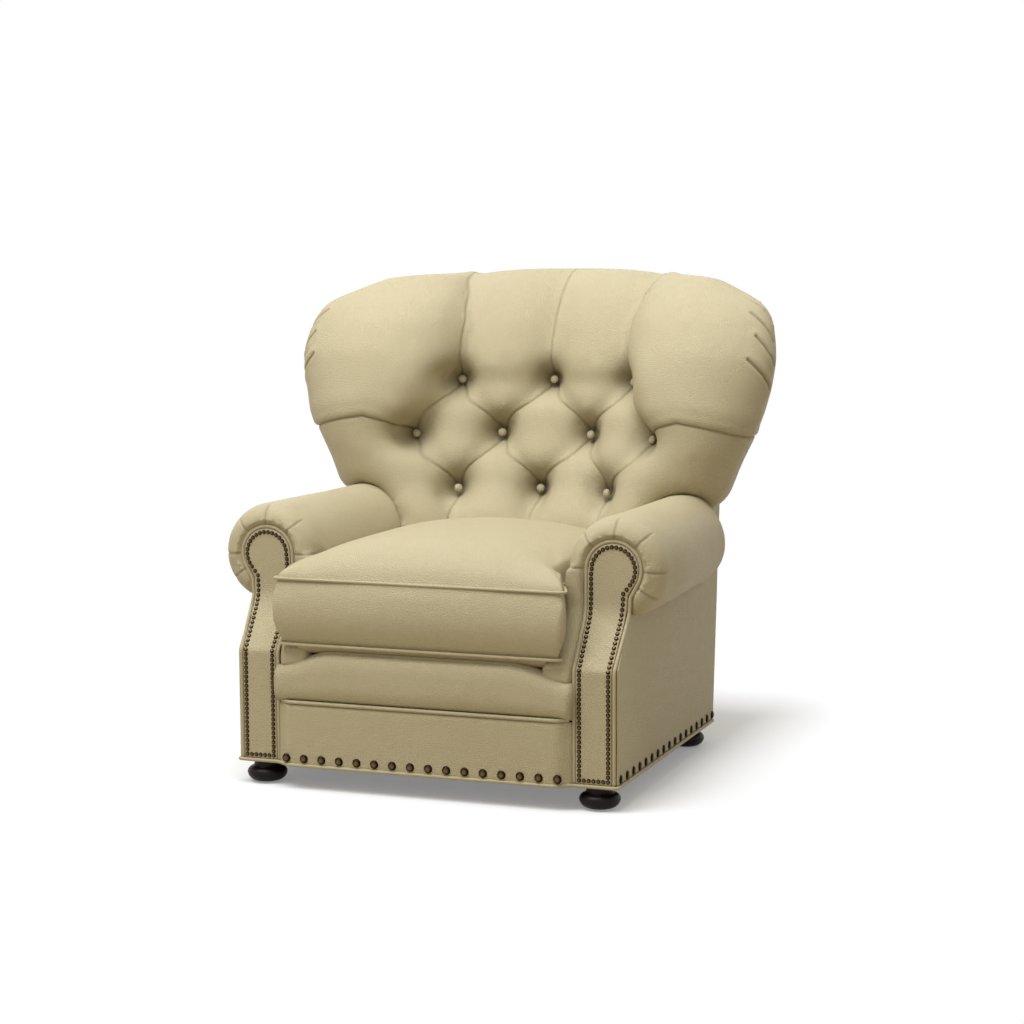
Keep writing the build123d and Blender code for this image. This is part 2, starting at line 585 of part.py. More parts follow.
keep_pair("arm_panel_welt", piping(welt_line.wires()[0], WELT_RADIUS))


# Domed upholstery nails
def dome_nail(radius):
    """A domed nail on the XY plane with its shank below it."""
    rise = 0.55 * radius
    ball = (radius ** 2 + rise ** 2) / (2 * rise)
    with BuildPart() as nail:
        with BuildSketch(Plane.XZ):
            with BuildLine():
                Line((0, rise), (0, -NAIL_SHANK))
                Polyline((0, -NAIL_SHANK), (radius / 5, -NAIL_SHANK), (radius / 5, 0), (radius, 0))
                RadiusArc((radius, 0), (0, rise), -ball)
            make_face()
        revolve(axis=Axis.Z)
    return nail.part


def nail_group(radius, seats):
    """Nails of one size, each at a point and along the outward normal there."""
    nail = dome_nail(radius)
    with BuildPart() as group:
        for point, normal in seats:
            with Locations(Plane(point, z_dir=normal)):
                add(nail)
    return group.part


def evenly(start, end, pitch):
    """Points along a straight run, at about a pitch, with the start but not the end."""
    run = [b - a for a, b in zip(start, end)]
    count = max(1, round(math.hypot(*run) / pitch))
    return [tuple(a + d * index / count for a, d in zip(start, run)) for index in range(count)]


inner_nail_x = KEY_INNER_X + SMALL_NAIL_INSET
outer_nail_x = KEY_OUTER_X - SMALL_NAIL_INSET
neck_nail_x = KEY_NECK_X - SMALL_NAIL_INSET
head_nail_r = KEY_HEAD_RADIUS - SMALL_NAIL_INSET
nail_low_z = PANEL_BOTTOM + SMALL_NAIL_INSET
crease = CREASE_HEIGHT
slope_angle = math.atan2(ARM_SETBACK + CREASE_FORWARD, SLOPE_TOP - CREASE_HEIGHT)
slope_normal = (0, -math.cos(slope_angle), math.sin(slope_angle))
bend_normal = (0, -math.cos(slope_angle / 2), math.sin(slope_angle / 2))
front_normal = (0, -1, 0)


def on_round(point, normal):
    """A seat moved out of the flat face to the rounded bend at the top of the slope."""
    x, y, z = point
    away = z - SLOPE_TOP if z > SLOPE_TOP else (SLOPE_TOP - z) / math.cos(slope_angle)
    inside = max(0, SLOPE_ROUND * math.tan(slope_angle / 2) - away)
    fill = SLOPE_ROUND - math.sqrt(SLOPE_ROUND ** 2 - inside ** 2)
    return (x, y + fill * normal[1], z + fill * normal[2])


def column_seats(x_low, x_high, z_low, z_high):
    """Seats up one edge of the panel, upright below the crease and following its bent face."""
    bends = [z_low, crease, SLOPE_TOP, z_high]
    seats = []
    for low, high in zip(bends, bends[1:]):
        normal = slope_normal if low == crease else front_normal
        pitch = SLOPE_NAIL_PITCH if low == crease else SMALL_NAIL_PITCH
        share = [max(0, z - crease) / (z_high - crease) for z in (low, high)]
        ends = [(x_low + s * (x_high - x_low), arm_face_y(z), z) for s, z in zip(share, (low, high))]
        for point in evenly(*ends, pitch):
            facing = bend_normal if point[2] == SLOPE_TOP else normal
            seats.append((on_round(point, facing), facing))
    return seats


head_sweep = math.radians(HEAD_NAIL_SWEEP)
head_count = round(head_sweep * head_nail_r / SMALL_NAIL_PITCH)
arm_seats = column_seats(inner_nail_x, inner_nail_x, nail_low_z, ROLL_Z)
for index in range(head_count + 1):
    angle = math.pi - head_sweep * index / head_count
    point = (ROLL_X + head_nail_r * math.cos(angle), ARM_FACE_Y, ROLL_Z + head_nail_r * math.sin(angle))
    arm_seats.append((point, front_normal))
head_end = point
neck_end = (neck_nail_x - 2, ARM_FACE_Y, KEY_NECK_Z + 4)
arm_seats += [(point, front_normal) for point in evenly(neck_end, head_end, SMALL_NAIL_PITCH)]
arm_seats += column_seats(outer_nail_x, neck_end[0], nail_low_z, neck_end[2])
bottom_ends = [(x, FRONT_Y, nail_low_z) for x in (inner_nail_x, outer_nail_x)]
bottom_run = evenly(*bottom_ends, SMALL_NAIL_PITCH)
arm_seats += [(point, front_normal) for point in bottom_run[1:]]
keep_pair("arm_nails", nail_group(SMALL_NAIL_RADIUS, arm_seats))


def centred(count, pitch):
    """Places across of a row of nails about the middle."""
    return [(index - (count - 1) / 2) * pitch for index in range(count)]


front_xs = centred(FRONT_NAIL_COUNT, FRONT_NAIL_PITCH)
front_run = [((x, BORDER_FRONT_Y, LARGE_NAIL_Z), front_normal) for x in front_xs]
keep("front_base_nails", nail_group(LARGE_NAIL_RADIUS, front_run))
side_gaps = round((BASE_DEPTH - SIDE_NAIL_END - SIDE_NAIL_START) / SIDE_NAIL_PITCH)
side_step = (BASE_DEPTH - SIDE_NAIL_END - SIDE_NAIL_START) / side_gaps
side_ys = [REAR_Y - SIDE_NAIL_END - index * side_step for index in range(side_gaps + 1)]
side_run = [((BASE_HALF_WIDTH, y, LARGE_NAIL_Z), (1, 0, 0)) for y in side_ys]
keep_pair("side_base_nails", nail_group(LARGE_NAIL_RADIUS, side_run))
rear_count = 2 * round((BASE_HALF_WIDTH - REAR_NAIL_END) / LARGE_NAIL_PITCH) + 1
rear_run = [((x, REAR_Y, LARGE_NAIL_Z), (0, 1, 0)) for x in centred(rear_count, LARGE_NAIL_PITCH)]
keep("rear_base_nails", nail_group(LARGE_NAIL_RADIUS, rear_run))

# Outside arm panels, from the arm front to the outside back
with BuildPart() as side_panel:
    with BuildSketch(Plane.YZ.offset(BASE_HALF_WIDTH - SKIN)):
        with BuildLine():
            side_shift = PANEL_THICKNESS + 2
            arm_front_line(side_shift, ROLL_Z)
            corner_y = roll_end_y - ROLL_END_ROUND
            Polyline((ARM_FACE_Y + side_shift, ROLL_Z), (corner_y, ROLL_Z), (corner_y, SIDE_TOP),
                     (REAR_Y + SIDE_LEAN, SIDE_TOP), (REAR_Y, FRAME_BOTTOM),
                     (FRONT_Y + side_shift, FRAME_BOTTOM))
        make_face()
    extrude(amount=SKIN)
    with BuildSketch(Plane.XZ.offset(-roll_end_y - 1)):
        with Locations((ROLL_X, ROLL_Z)):
            Circle(ROLL_RADIUS + CLEAR)
    extrude(amount=2 * BASE_DEPTH, mode=Mode.SUBTRACT)
    with Locations((BASE_HALF_WIDTH, 0, FRAME_BOTTOM)):
        Box(4 * SKIN, 4 * BASE_DEPTH, 2 * (PANEL_BOTTOM - FRAME_BOTTOM), mode=Mode.SUBTRACT)
keep_pair("outside_arm_panel", side_panel.part)


# Frame of the barrel back
def barrel(x, height):
    """How far the barrel comes forward at a place across."""
    return x ** 2 / table(BARREL_WIDTH, height)


def pad_back_y(x, height):
    return REAR_Y + table(PAD_BACK_LINE, height) - barrel(x, height)


post_foot_y = REAR_RAIL_Y
post_bend_y = max(post_foot_y, pad_back_y(POST_INNER_X, TUCK_TOP) + POST_EASE)
post_top_y = pad_back_y(POST_INNER_X, CREST_RAIL_BOTTOM) + POST_EASE
with BuildPart() as back_post:
    with BuildSketch(Plane.YZ.offset(POST_INNER_X)):
        with BuildLine():
            Polyline((post_foot_y, RAIL_TOP), (post_foot_y + RAIL_THICKNESS, RAIL_TOP),
                     (post_bend_y + POST_DEPTH, POST_BEND), (post_top_y + POST_DEPTH, CREST_RAIL_BOTTOM),
                     (post_top_y, CREST_RAIL_BOTTOM), (post_bend_y, POST_BEND), close=True)
        make_face()
    extrude(amount=POST_WIDTH)
keep_pair("back_post", back_post.part)


def bowed_rail(half, front, sag, depth, low, high):
    """A rail bowed in plan: its ends come forward by the sag."""
    with BuildPart() as rail:
        with BuildSketch(Plane.XY.offset(low)):
            with BuildLine():
                ThreePointArc((-half, front - sag), (0, front), (half, front - sag))
                Line((half, front - sag), (half, front - sag + depth))
                ThreePointArc((half, front - sag + depth), (0, front + depth), (-half, front - sag + depth))
                Line((-half, front - sag + depth), (-half, front - sag))
            make_face()
        extrude(amount=high - low)
    return rail.part


crest_front = REAR_Y + CREST_RAIL_FRONT
crest_rail = bowed_rail(CREST_RAIL_HALF, crest_front, CREST_RAIL_SAG, CREST_RAIL_DEPTH,
                        CREST_RAIL_BOTTOM, CREST_RAIL_TOP)
keep("crest_rail", crest_rail)

lower_front = REAR_Y + LOWER_RAIL_FRONT
lower_sag = barrel(POST_INNER_X, LOWER_RAIL_BOTTOM)
lower_rail = bowed_rail(POST_INNER_X, lower_front, lower_sag, LOWER_RAIL_DEPTH, LOWER_RAIL_BOTTOM,
                        LOWER_RAIL_BOTTOM + LOWER_RAIL_HEIGHT)
keep("lower_back_rail", lower_rail)


def bow(x, half, sag):
    """How far a bowed rail's face comes forward at a place across, and its slope there."""
    radius = (half ** 2 + sag ** 2) / (2 * sag)
    return radius - math.sqrt(radius ** 2 - x ** 2), math.degrees(math.asin(-x / radius))


wing_foot = ((STUMP_OUTER_X + STUMP_INNER_X) / 2, REAR_Y + ARM_RAIL_BACK - WING_POST / 2 - WING_POST_INSET)
wing_head_x = CREST_RAIL_HALF - WING_POST / 2 - WING_HEAD_INSET
wing_head_y = crest_front - bow(wing_head_x, CREST_RAIL_HALF, CREST_RAIL_SAG)[0] + CREST_RAIL_DEPTH / 2
with BuildPart() as wing_post:
    with BuildSketch(Plane.XY.offset(ARM_RAIL_TOP)):
        with Locations(wing_foot):
            Rectangle(WING_POST, WING_POST)
    with BuildSketch(Plane.XY.offset(CREST_RAIL_BOTTOM)):
        with Locations((wing_head_x, wing_head_y)):
            Rectangle(WING_POST, WING_POST)
    loft(ruled=True)
keep_pair("wing_post", wing_post.part)

with BuildPart() as back_webbing:
    for index in (-1, 0, 1):
        low_x = index * WEB_SPACING
        high_x = WEB_SPREAD * low_x
        low_bow, low_turn = bow(low_x, POST_INNER_X, lower_sag)
        high_bow, high_turn = bow(high_x, CREST_RAIL_HALF, CREST_RAIL_SAG)
        with BuildSketch(Plane.XY.offset(LOWER_RAIL_BOTTOM + LOWER_RAIL_HEIGHT - WEB_THICKNESS / 2)):
            with Locations((low_x, lower_front - low_bow - WEB_EASE)):
                Rectangle(WEB_WIDTH, WEB_THICKNESS, rotation=low_turn)
        with BuildSketch(Plane.XY.offset(CREST_RAIL_TOP - WEB_END)):
            with Locations((high_x, crest_front - high_bow - WEB_EASE)):
                Rectangle(WEB_WIDTH, WEB_THICKNESS, rotation=high_turn)
        loft(ruled=True)
keep("back_webbing", back_webbing.part)


# Tufted inside back: pleats run between the rows of buttons
low_row, mid_row, top_row = ROW_HEIGHTS


def pleat_places(height):
    """Places across of the pleats on the right half: centre pair, inner pair and the edge of the wing."""
    seat = BUTTON_RADIUS
    low = (seat, LOW_BUTTON_X - seat, LOW_BUTTON_X)
    mid = (MID_BUTTON_X - seat, MID_BUTTON_X + seat, MID_OUTER_BUTTON_X)
    top = (seat, TOP_BUTTON_X - seat, TOP_BUTTON_X)
    foot_x, neck_x = LOW_BUTTON_X - PLEAT_TAPER, TOP_BUTTON_X - NECK_TAPER
    foot = (PLEAT_GAP, foot_x - PLEAT_GAP, foot_x)
    neck = (PLEAT_GAP, neck_x - PLEAT_GAP, neck_x)
    crest = (PLEAT_GAP, CREST_PLEAT_X - PLEAT_GAP, CREST_PLEAT_X)
    rows = ((TUCK_TOP, *foot), (low_row, *low), (mid_row, *mid), (top_row, *top), (NECK_HEIGHT, *neck),
            (CREST_HEIGHT, *crest))
    return [table(rows, height, column) for column in (1, 2, 3)]


def pleat_y(x, height):
    """Face of a pleat; a button's seat is deeper."""
    if height <= TUCK_TOP:
        return REAR_Y - TUCK_FRONT
    sunk = BUTTON_SEAT if height in ROW_HEIGHTS else 0
    return REAR_Y + table(PLEAT_LINE, height) - barrel(x, height) + sunk


def back_section(height):
    """One level of the inside back: five swelling channels in front and a bowed back."""
    inner, outer, edge = pleat_places(height)
    places = [-edge, -outer, -inner, inner, outer, edge]
    with BuildSketch(Plane.XY.offset(height)) as level:
        with BuildLine():
            for x_low, x_high in zip(places, places[1:]):
                middle = (x_low + x_high) / 2
                swell = min(PUFF, PUFF_SHARE * (x_high - x_low))
                if height <= TUCK_TOP:
                    swell = TUCK_SWELL
                ThreePointArc((x_low, pleat_y(x_low, height)),
                              (middle, (pleat_y(x_low, height) + pleat_y(x_high, height)) / 2 - swell),
                              (x_high, pleat_y(x_high, height)))
            front, back = pleat_y(edge, height), pad_back_y(edge, height)
            Line((edge, front), (edge, back))
            ThreePointArc((edge, back), (0, pad_back_y(0, height)), (-edge, back))
            Line((-edge, back), (-edge, front))
        make_face()
    return level.sketch


with BuildPart() as inside_back:
    loft([back_section(height) for height in BACK_LEVELS], ruled=True)
    add(crest_rail, mode=Mode.SUBTRACT)
keep("inside_back_pad", inside_back.part)


def wing_section(height):
    """One level of the right wing: a swelling front, a rounded outer edge and a flat back."""
    edge = pleat_places(height)[2] + CLEAR
    front = pleat_y(edge, height)
    widest = (table(WING_EDGE, height), REAR_Y + table(WING_EDGE, height, 2))
    ridge = (table(WING_RIDGE, height), REAR_Y + table(WING_RIDGE, height, 2))
    tail = (widest[0] - WING_WRAP, REAR_Y + table(WING_EDGE, height, 3))
    root = pad_back_y(edge, height)
    with BuildSketch(Plane.XY.offset(height)) as level:
        with BuildLine():
            ThreePointArc((edge, front), ridge, widest)
            ThreePointArc(widest, (widest[0] - 0.12 * WING_WRAP, 0.45 * widest[1] + 0.55 * tail[1]), tail)
            Polyline(tail, (edge, root), (edge, front))
        make_face()
    return level.sketch


def wing_pad(levels):
    with BuildPart() as pad:
        loft([wing_section(height) for height in levels], ruled=True)
        for solid in (crest_rail, back_post.part, wing_post.part, lower_rail, arm_rail.part):
            add(solid, mode=Mode.SUBTRACT)
        with BuildSketch(Plane.XZ.offset(-roll_end_y - CLEAR)):
            with Locations((ROLL_X, ROLL_Z)):
                Circle(ROLL_RADIUS + CLEAR)
        extrude(amount=BASE_DEPTH, mode=Mode.SUBTRACT)
        slab_end = roll_end_y - ROLL_END_ROUND + CLEAR
        with Locations((ROLL_X - ROLL_RADIUS / 2 - CLEAR, slab_end - BASE_DEPTH / 2, ROLL_Z / 2)):
            Box(ROLL_RADIUS, BASE_DEPTH, ROLL_Z, mode=Mode.SUBTRACT)
        with Locations((BASE_HALF_WIDTH + ROLL_RADIUS - SKIN, roll_end_y, SIDE_TOP - ROLL_RADIUS)):
            Box(2 * ROLL_RADIUS, BASE_DEPTH, 2 * ROLL_RADIUS + CLEAR, mode=Mode.SUBTRACT)
    return pad.part


keep_pair("lower_wing_pad", wing_pad((*LOWER_WING_LEVELS, WING_SEAM - CLEAR)))
keep_pair("upper_wing_pad", wing_pad((WING_SEAM + CLEAR, *UPPER_WING_LEVELS)))

# Leather-covered buttons in their seats
button_places = [(0, low_row), (0, top_row)]
for x, height in ((LOW_BUTTON_X, low_row), (MID_BUTTON_X, mid_row), (MID_OUTER_BUTTON_X, mid_row),
                  (TOP_BUTTON_X, top_row)):
    button_places += [(-x, height), (x, height)]
button_seats = []
for x, height in button_places:
    across = 2 * x / table(BARREL_WIDTH, height)
    button_seats.append(((x, pleat_y(x, height) - 1, height), (-across, -1, BUTTON_LEAN)))
keep("back_buttons", nail_group(BUTTON_RADIUS, button_seats))


# Outside back, from the floor end to the crest
def outside_section(height):
    centre = REAR_Y + table(OUTSIDE_LINE, height)
    lean = SIDE_LEAN * max(0, min(1, (height - FOOT_END) / (SIDE_TOP - FOOT_END)))
    if height <= SIDE_TOP:
        half, edge_y = BASE_HALF_WIDTH - SKIN - CLEAR, REAR_Y + lean
    else:
        half = table(WING_EDGE, height) - WING_WRAP
        edge_y = REAR_Y + table(WING_EDGE, height, 3) + BACK_SKIN + 2 * CLEAR
    bow = max(centre, edge_y + 0.5)
    with BuildSketch(Plane.XY.offset(height)) as level:
        with BuildLine():
            ThreePointArc((-half, edge_y), (0, bow), (half, edge_y))
            Line((half, edge_y), (half, edge_y - BACK_SKIN))
            ThreePointArc((half, edge_y - BACK_SKIN), (0, bow - BACK_SKIN), (-half, edge_y - BACK_SKIN))
            Line((-half, edge_y - BACK_SKIN), (-half, edge_y))
        make_face()
    return level.sketch


with BuildPart() as outside_back:
    loft([outside_section(height) for height in OUTSIDE_LEVELS], ruled=True)
keep("outside_back_panel", outside_back.part)


# Loose seat cushion: cover panels over a foam core, with piping and a zip
cushion_front = FRONT_Y - CUSHION_FRONT
cushion_back = REAR_Y - CUSHION_BACK


def cushion_solid(inset):
    """The crowned cushion drawn in by an inset, with ears in front of the arms."""
    front, back = cushion_front + inset, cushion_back - inset
    low, high = CUSHION_WELT_LOW, CUSHION_WELT_HIGH
    base = SEAT_LEVEL + inset
    half = CUSHION_HALF_WIDTH - inset

    def section(x, crown):
        with BuildSketch(Plane.YZ.offset(x)) as level:
            with BuildLine():
                ThreePointArc((front, high), ((front + back) / 2, high + crown - inset), (back, high))
                Polyline((back, high), (back, low), (back - CUSHION_REAR_TUCK, base),
                         (front + CUSHION_FRONT_TUCK, base), (front, low))
                ThreePointArc((front, low), (front - BOXING_SWELL, (low + high) / 2), (front, high))
            make_face()
        return level.sketch

    swell = CUSHION_CROWN - CUSHION_EDGE_CROWN
    shares = (-1, -0.86, -0.5, 0, 0.5, 0.86, 1)
    with BuildPart() as body:
        loft([section(share * half, CUSHION_EDGE_CROWN + swell * (1 - share ** 2)) for share in shares])
    ear_half = CUSHION_EAR - inset
    ears = behind_arm_front(-ROLL_PROUD - EAR_GAP - inset, REAR_Y, (-2 * CUSHION_EAR, 2 * CUSHION_EAR),
                            (FRAME_BOTTOM, 2 * high))
    with BuildPart() as wide:
        with BuildSketch(Plane.YZ.offset(-ear_half)):
            with BuildLine():
                ear_top = high + CUSHION_EDGE_CROWN - inset
                ThreePointArc((front, high), ((front + back) / 2, ear_top), (back, high))
                Polyline((back, high), (back, low), (front, low))
                ThreePointArc((front, low), (front - BOXING_SWELL, (low + high) / 2), (front, high))
            make_face()
        extrude(amount=2 * ear_half)
        add(ears, mode=Mode.SUBTRACT)
        add(body.part)
    return wide.part


cushion_outer = cushion_solid(0)
cushion_inner = cushion_solid(COVER_THICKNESS)
cushion_core = cushion_solid(COVER_THICKNESS + CLEAR)
keep("cushion_core", cushion_core)


def cover_slice(low, high):
    with BuildPart() as panel:
        add(cushion_outer)
        add(cushion_inner, mode=Mode.SUBTRACT)
        with Locations((0, 0, (low + high) / 2)):
            Box(4 * CUSHION_EAR, 4 * BASE_DEPTH, high - low, mode=Mode.INTERSECT)
    return panel.part


keep("cushion_bottom_panel", cover_slice(0, CUSHION_WELT_LOW))
keep("cushion_boxing", cover_slice(CUSHION_WELT_LOW, CUSHION_WELT_HIGH))
keep("cushion_top_panel", cover_slice(CUSHION_WELT_HIGH, 2 * CUSHION_WELT_HIGH))

welt_gap = CUSHION_WELT_RADIUS + CLEAR
front_welts = []
for height in (CUSHION_WELT_LOW, CUSHION_WELT_HIGH):
    with BuildLine(Plane.XY.offset(height)) as front_welt:
        Line((-CUSHION_EAR, cushion_front - welt_gap), (CUSHION_EAR, cushion_front - welt_gap))
    front_welts.append(piping(front_welt.wires()[0], CUSHION_WELT_RADIUS))
with BuildPart() as cushion_welts:
    for welt in front_welts:
        add(welt)
keep("cushion_welts", cushion_welts.part)

with BuildPart() as cushion_zip:
    middle = (CUSHION_WELT_LOW + CUSHION_WELT_HIGH) / 2
    block((-ZIP_HALF_LENGTH, ZIP_HALF_LENGTH), (cushion_back, cushion_back + ZIP_THICKNESS),
          (middle - ZIP_HEIGHT / 2, middle + ZIP_HEIGHT / 2))
    pull_length, pull_thickness, pull_height = ZIP_PULL
    pull_x = ZIP_HALF_LENGTH - ZIP_PULL_END
    block((pull_x - pull_length, pull_x), (cushion_back, cushion_back + pull_thickness),
          (middle - pull_height / 2, middle + pull_height / 2))
keep("cushion_zip", cushion_zip.part)

whole = Compound(children=list(pieces.values())).bounding_box()
print("nodes", len(pieces), "box", whole.min, whole.max)
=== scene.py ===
import math
import bmesh
import bpy
import numpy as np
from mathutils import Matrix, Vector


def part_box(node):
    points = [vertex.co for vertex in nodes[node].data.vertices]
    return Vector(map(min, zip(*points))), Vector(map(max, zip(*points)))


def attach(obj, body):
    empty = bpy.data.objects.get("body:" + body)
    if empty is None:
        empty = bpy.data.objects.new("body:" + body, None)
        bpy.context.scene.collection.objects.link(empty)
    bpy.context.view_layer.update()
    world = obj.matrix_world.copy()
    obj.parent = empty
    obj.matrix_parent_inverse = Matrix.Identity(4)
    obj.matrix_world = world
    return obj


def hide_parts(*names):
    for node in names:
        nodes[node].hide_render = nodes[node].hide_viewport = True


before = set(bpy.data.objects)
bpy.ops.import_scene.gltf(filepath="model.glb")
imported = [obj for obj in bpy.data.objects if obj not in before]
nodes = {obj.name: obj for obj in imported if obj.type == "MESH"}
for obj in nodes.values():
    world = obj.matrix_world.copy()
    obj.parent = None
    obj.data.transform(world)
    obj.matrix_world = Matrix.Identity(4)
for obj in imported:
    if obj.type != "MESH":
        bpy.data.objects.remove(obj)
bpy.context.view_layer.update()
# Axis and front end of the arm roll, the gap under which points are joined, and a length beyond every piece
ROLL_X, ROLL_Z, ROLL_NOSE = 0.377, 0.471, -0.4538
JOIN_GAP, FAR_AWAY = 0.00002, 9.0


# Shader graphs
class Value:
    """A node's output that can be used in sums."""

    def __init__(self, graph, socket):
        self.graph, self.socket = graph, socket

    def _sum(self, operation, first, second):
        return self.graph.node("ShaderNodeMath", {0: first, 1: second}, operation=operation)

    def __add__(self, other):
        return self._sum("ADD", self, other)

    def __radd__(self, other):
        return self._sum("ADD", other, self)

    def __sub__(self, other):
        return self._sum("SUBTRACT", self, other)

    def __rsub__(self, other):
        return self._sum("SUBTRACT", other, self)

    def __mul__(self, other):
        return self._sum("MULTIPLY", self, other)

    def __truediv__(self, other):
        return self._sum("DIVIDE", self, other)

    def __pow__(self, other):
        return self._sum("POWER", self, other)

    def __abs__(self):
        return self._sum("ABSOLUTE", self, 0.0)

    def clamp(self):
        return self.graph.node("ShaderNodeClamp", {0: self})


class Graph:
    """A material's nodes, from its coordinates to its one surface shader."""

    def __init__(self, name):
        self.material = bpy.data.materials.new(name)
        self.material.use_nodes = True
        self.tree = self.material.node_tree
        self.shader = self.tree.nodes["Principled BSDF"]
        self.place = self.node("ShaderNodeTexCoord", out="Object")

    def node(self, kind, inputs=None, out=0, **settings):
        made = self.tree.nodes.new(kind)
        for key, value in settings.items():
            setattr(made, key, value)
        for key, value in (inputs or {}).items():
            self.put(made.inputs[key], value)
        return Value(self, made.outputs[out])

    def put(self, socket, value):
        if isinstance(value, Value):
            self.tree.links.new(value.socket, socket)
        else:
            socket.default_value = value

    def surface(self, **inputs):
        for key, value in inputs.items():
            self.put(self.shader.inputs[key.replace("_", " ")], value)
        return self.material

    def noise(self, scale, detail=3.0, rough=0.5):
        return self.node("ShaderNodeTexNoise", {"Vector": self.place, "Scale": scale, "Detail": detail,
                                                "Roughness": rough})

    def cells(self, scale, feature="F1"):
        return self.node("ShaderNodeTexVoronoi", {"Vector": self.place, "Scale": scale}, out="Distance",
                         feature=feature)

    def blend(self, factor, first, second):
        return self.node("ShaderNodeMix", {0: factor, 6: first, 7: second}, out=2, data_type="RGBA")

    def attribute(self, name):
        return self.node("ShaderNodeAttribute", out="Fac", attribute_name=name)

    def bump(self, height, distance, strength=1.0, normal=None):
        inputs = {"Height": height, "Distance": distance, "Strength": strength}
        if normal is not None:
            inputs["Normal"] = normal
        return self.node("ShaderNodeBump", inputs)


def rgba(red, green, blue):
    return (red, green, blue, 1.0)


# Pebbles and fine grain of the hide per metre, depths of the bumps in metres, and the hide's shine
PEBBLES, FINE_GRAIN = 260.0, 700.0
PEBBLE_DEPTH, FOLD_DEPTH, SPECK_DEPTH, HIDE_SHINE = 0.0011, 0.0016, 0.0002, 0.14


def leather(name, pale, deep, grain=1.0):
    """Pebbled hide, its tone varied at random, with painted shade darkening it in its creases and hollows.
    """
    g = Graph(name)
    cloud = g.noise(5.0, 4.0)
    mottle = g.noise(42.0, 4.0, 0.6)
    pebble = g.cells(PEBBLES)
    wall = g.cells(PEBBLES, "DISTANCE_TO_EDGE")
    fine = g.noise(FINE_GRAIN, 2.0)
    crease = g.attribute("crease")
    valley = (wall * 5.0).clamp()
    tone = (cloud * 0.55 + mottle * 0.35 + pebble * 0.24 - valley * 0.18).clamp()
    hide = g.blend(tone, rgba(*pale), rgba(*deep))
    # Painted shade: creases, seams, gathers and the patch above each button go dark towards a third of the
    # deep tone
    shade = g.blend((crease * 0.85).clamp(), hide, rgba(*(0.34 * c for c in deep)))
    hills = g.bump(valley * 0.8 + fine * 0.2, PEBBLE_DEPTH * grain, 0.9)
    folds = g.bump(mottle * 0.6 + cloud * 0.4, FOLD_DEPTH, 0.35, hills)
    polish = 0.44 + mottle * 0.14 + crease * 0.16 - valley * 0.05
    return g.surface(Base_Color=shade, Roughness=polish, Normal=folds, Specular_IOR_Level=HIDE_SHINE)


def bronze(name, dark, light):
    """Antique nail: dark lacquer rubbed through on the crown, the paler crown being partly wear and partly
    a painted highlight.
    """
    g = Graph(name)
    speck = g.noise(FINE_GRAIN, 2.0)
    # Paler crown: wear through the lacquer and a painted highlight
    wear_and_highlight = (g.attribute("crown") * 3.0 + speck * 0.5 - 2.3).clamp()
    colour = g.blend(wear_and_highlight, rgba(*dark), rgba(*light))
    return g.surface(Base_Color=colour, Metallic=1.0, Roughness=0.20 + speck * 0.16,
                     Normal=g.bump(speck, SPECK_DEPTH, 0.3))


def timber(name, pale, dark, polish, shine=0.4):
    """Wood with its grain and pores drawn out along the height."""
    g = Graph(name)
    stretch = g.node("ShaderNodeMapping", {"Vector": g.place, "Scale": (14.0, 14.0, 1.6)})
    grain = g.node("ShaderNodeTexNoise", {"Vector": stretch, "Scale": 14.0, "Detail": 6.0,
                                          "Roughness": 0.6})
    pores = g.node("ShaderNodeTexNoise", {"Vector": stretch, "Scale": 70.0, "Detail": 2.0})
    colour = g.blend((grain * 1.5 - 0.3).clamp(), rgba(*pale), rgba(*dark))
    return g.surface(Base_Color=colour, Roughness=polish + pores * 0.12, Specular_IOR_Level=shine,
                     Normal=g.bump(pores, 0.0003, 0.25))


def woven(name, pale, dark, pitch):
    """Plain weave from two crossing waves."""
    g = Graph(name)
    wave = {"Vector": g.place, "Scale": 0.5 / pitch, "Distortion": 0.4}
    runs = [g.node("ShaderNodeTexWave", wave, bands_direction=turn, out="Fac") for turn in ("X", "Y")]
    thread = runs[0] * 0.5 + runs[1] * 0.5
    colour = g.blend(thread, rgba(*dark), rgba(*pale))
    return g.surface(Base_Color=colour, Roughness=0.86 - thread * 0.1, Normal=g.bump(thread, 0.0006, 0.5))


def steel(name):
    g = Graph(name)
    streak = g.noise(300.0, 3.0)
    colour = g.blend(streak, rgba(0.36, 0.36, 0.37), rgba(0.52, 0.52, 0.53))
    return g.surface(Base_Color=colour, Metallic=1.0, Roughness=0.3 + streak * 0.2)


def plastic(name, tone):
    g = Graph(name)
    speck = g.noise(FINE_GRAIN, 2.0)
    dark = rgba(*(0.8 * c for c in tone))
    return g.surface(Base_Color=g.blend(speck, dark, rgba(*tone)), Roughness=0.5 + speck * 0.15,
                     Normal=g.bump(speck, SPECK_DEPTH, 0.3))


HIDE = leather("khaki hide", (0.575, 0.502, 0.334), (0.477, 0.406, 0.254))
PIPING = leather("piping hide", (0.550, 0.478, 0.314), (0.455, 0.386, 0.240), 0.7)
NAIL = bronze("antique bronze", (0.016, 0.009, 0.005), (0.15, 0.094, 0.044))
FOOT = timber("espresso lacquer", (0.012, 0.008, 0.007), (0.005, 0.003, 0.003), 0.34, 0.14)
FRAME = timber("frame hardwood", (0.56, 0.40, 0.24), (0.40, 0.27, 0.15), 0.6)
STEEL = steel("spring wire")
DUST = woven("dust cloth", (0.055, 0.055, 0.055), (0.02, 0.02, 0.02), 0.0012)
DECK = woven("deck cloth", (0.50, 0.43, 0.28), (0.36, 0.30, 0.19), 0.0016)
FOAM = woven("calico", (0.78, 0.73, 0.58), (0.66, 0.61, 0.47), 0.0011)
ZIP = woven("zip tape", (0.34, 0.29, 0.19), (0.20, 0.17, 0.11), 0.0014)
GLIDE = plastic("glide plastic", (0.06, 0.06, 0.06))


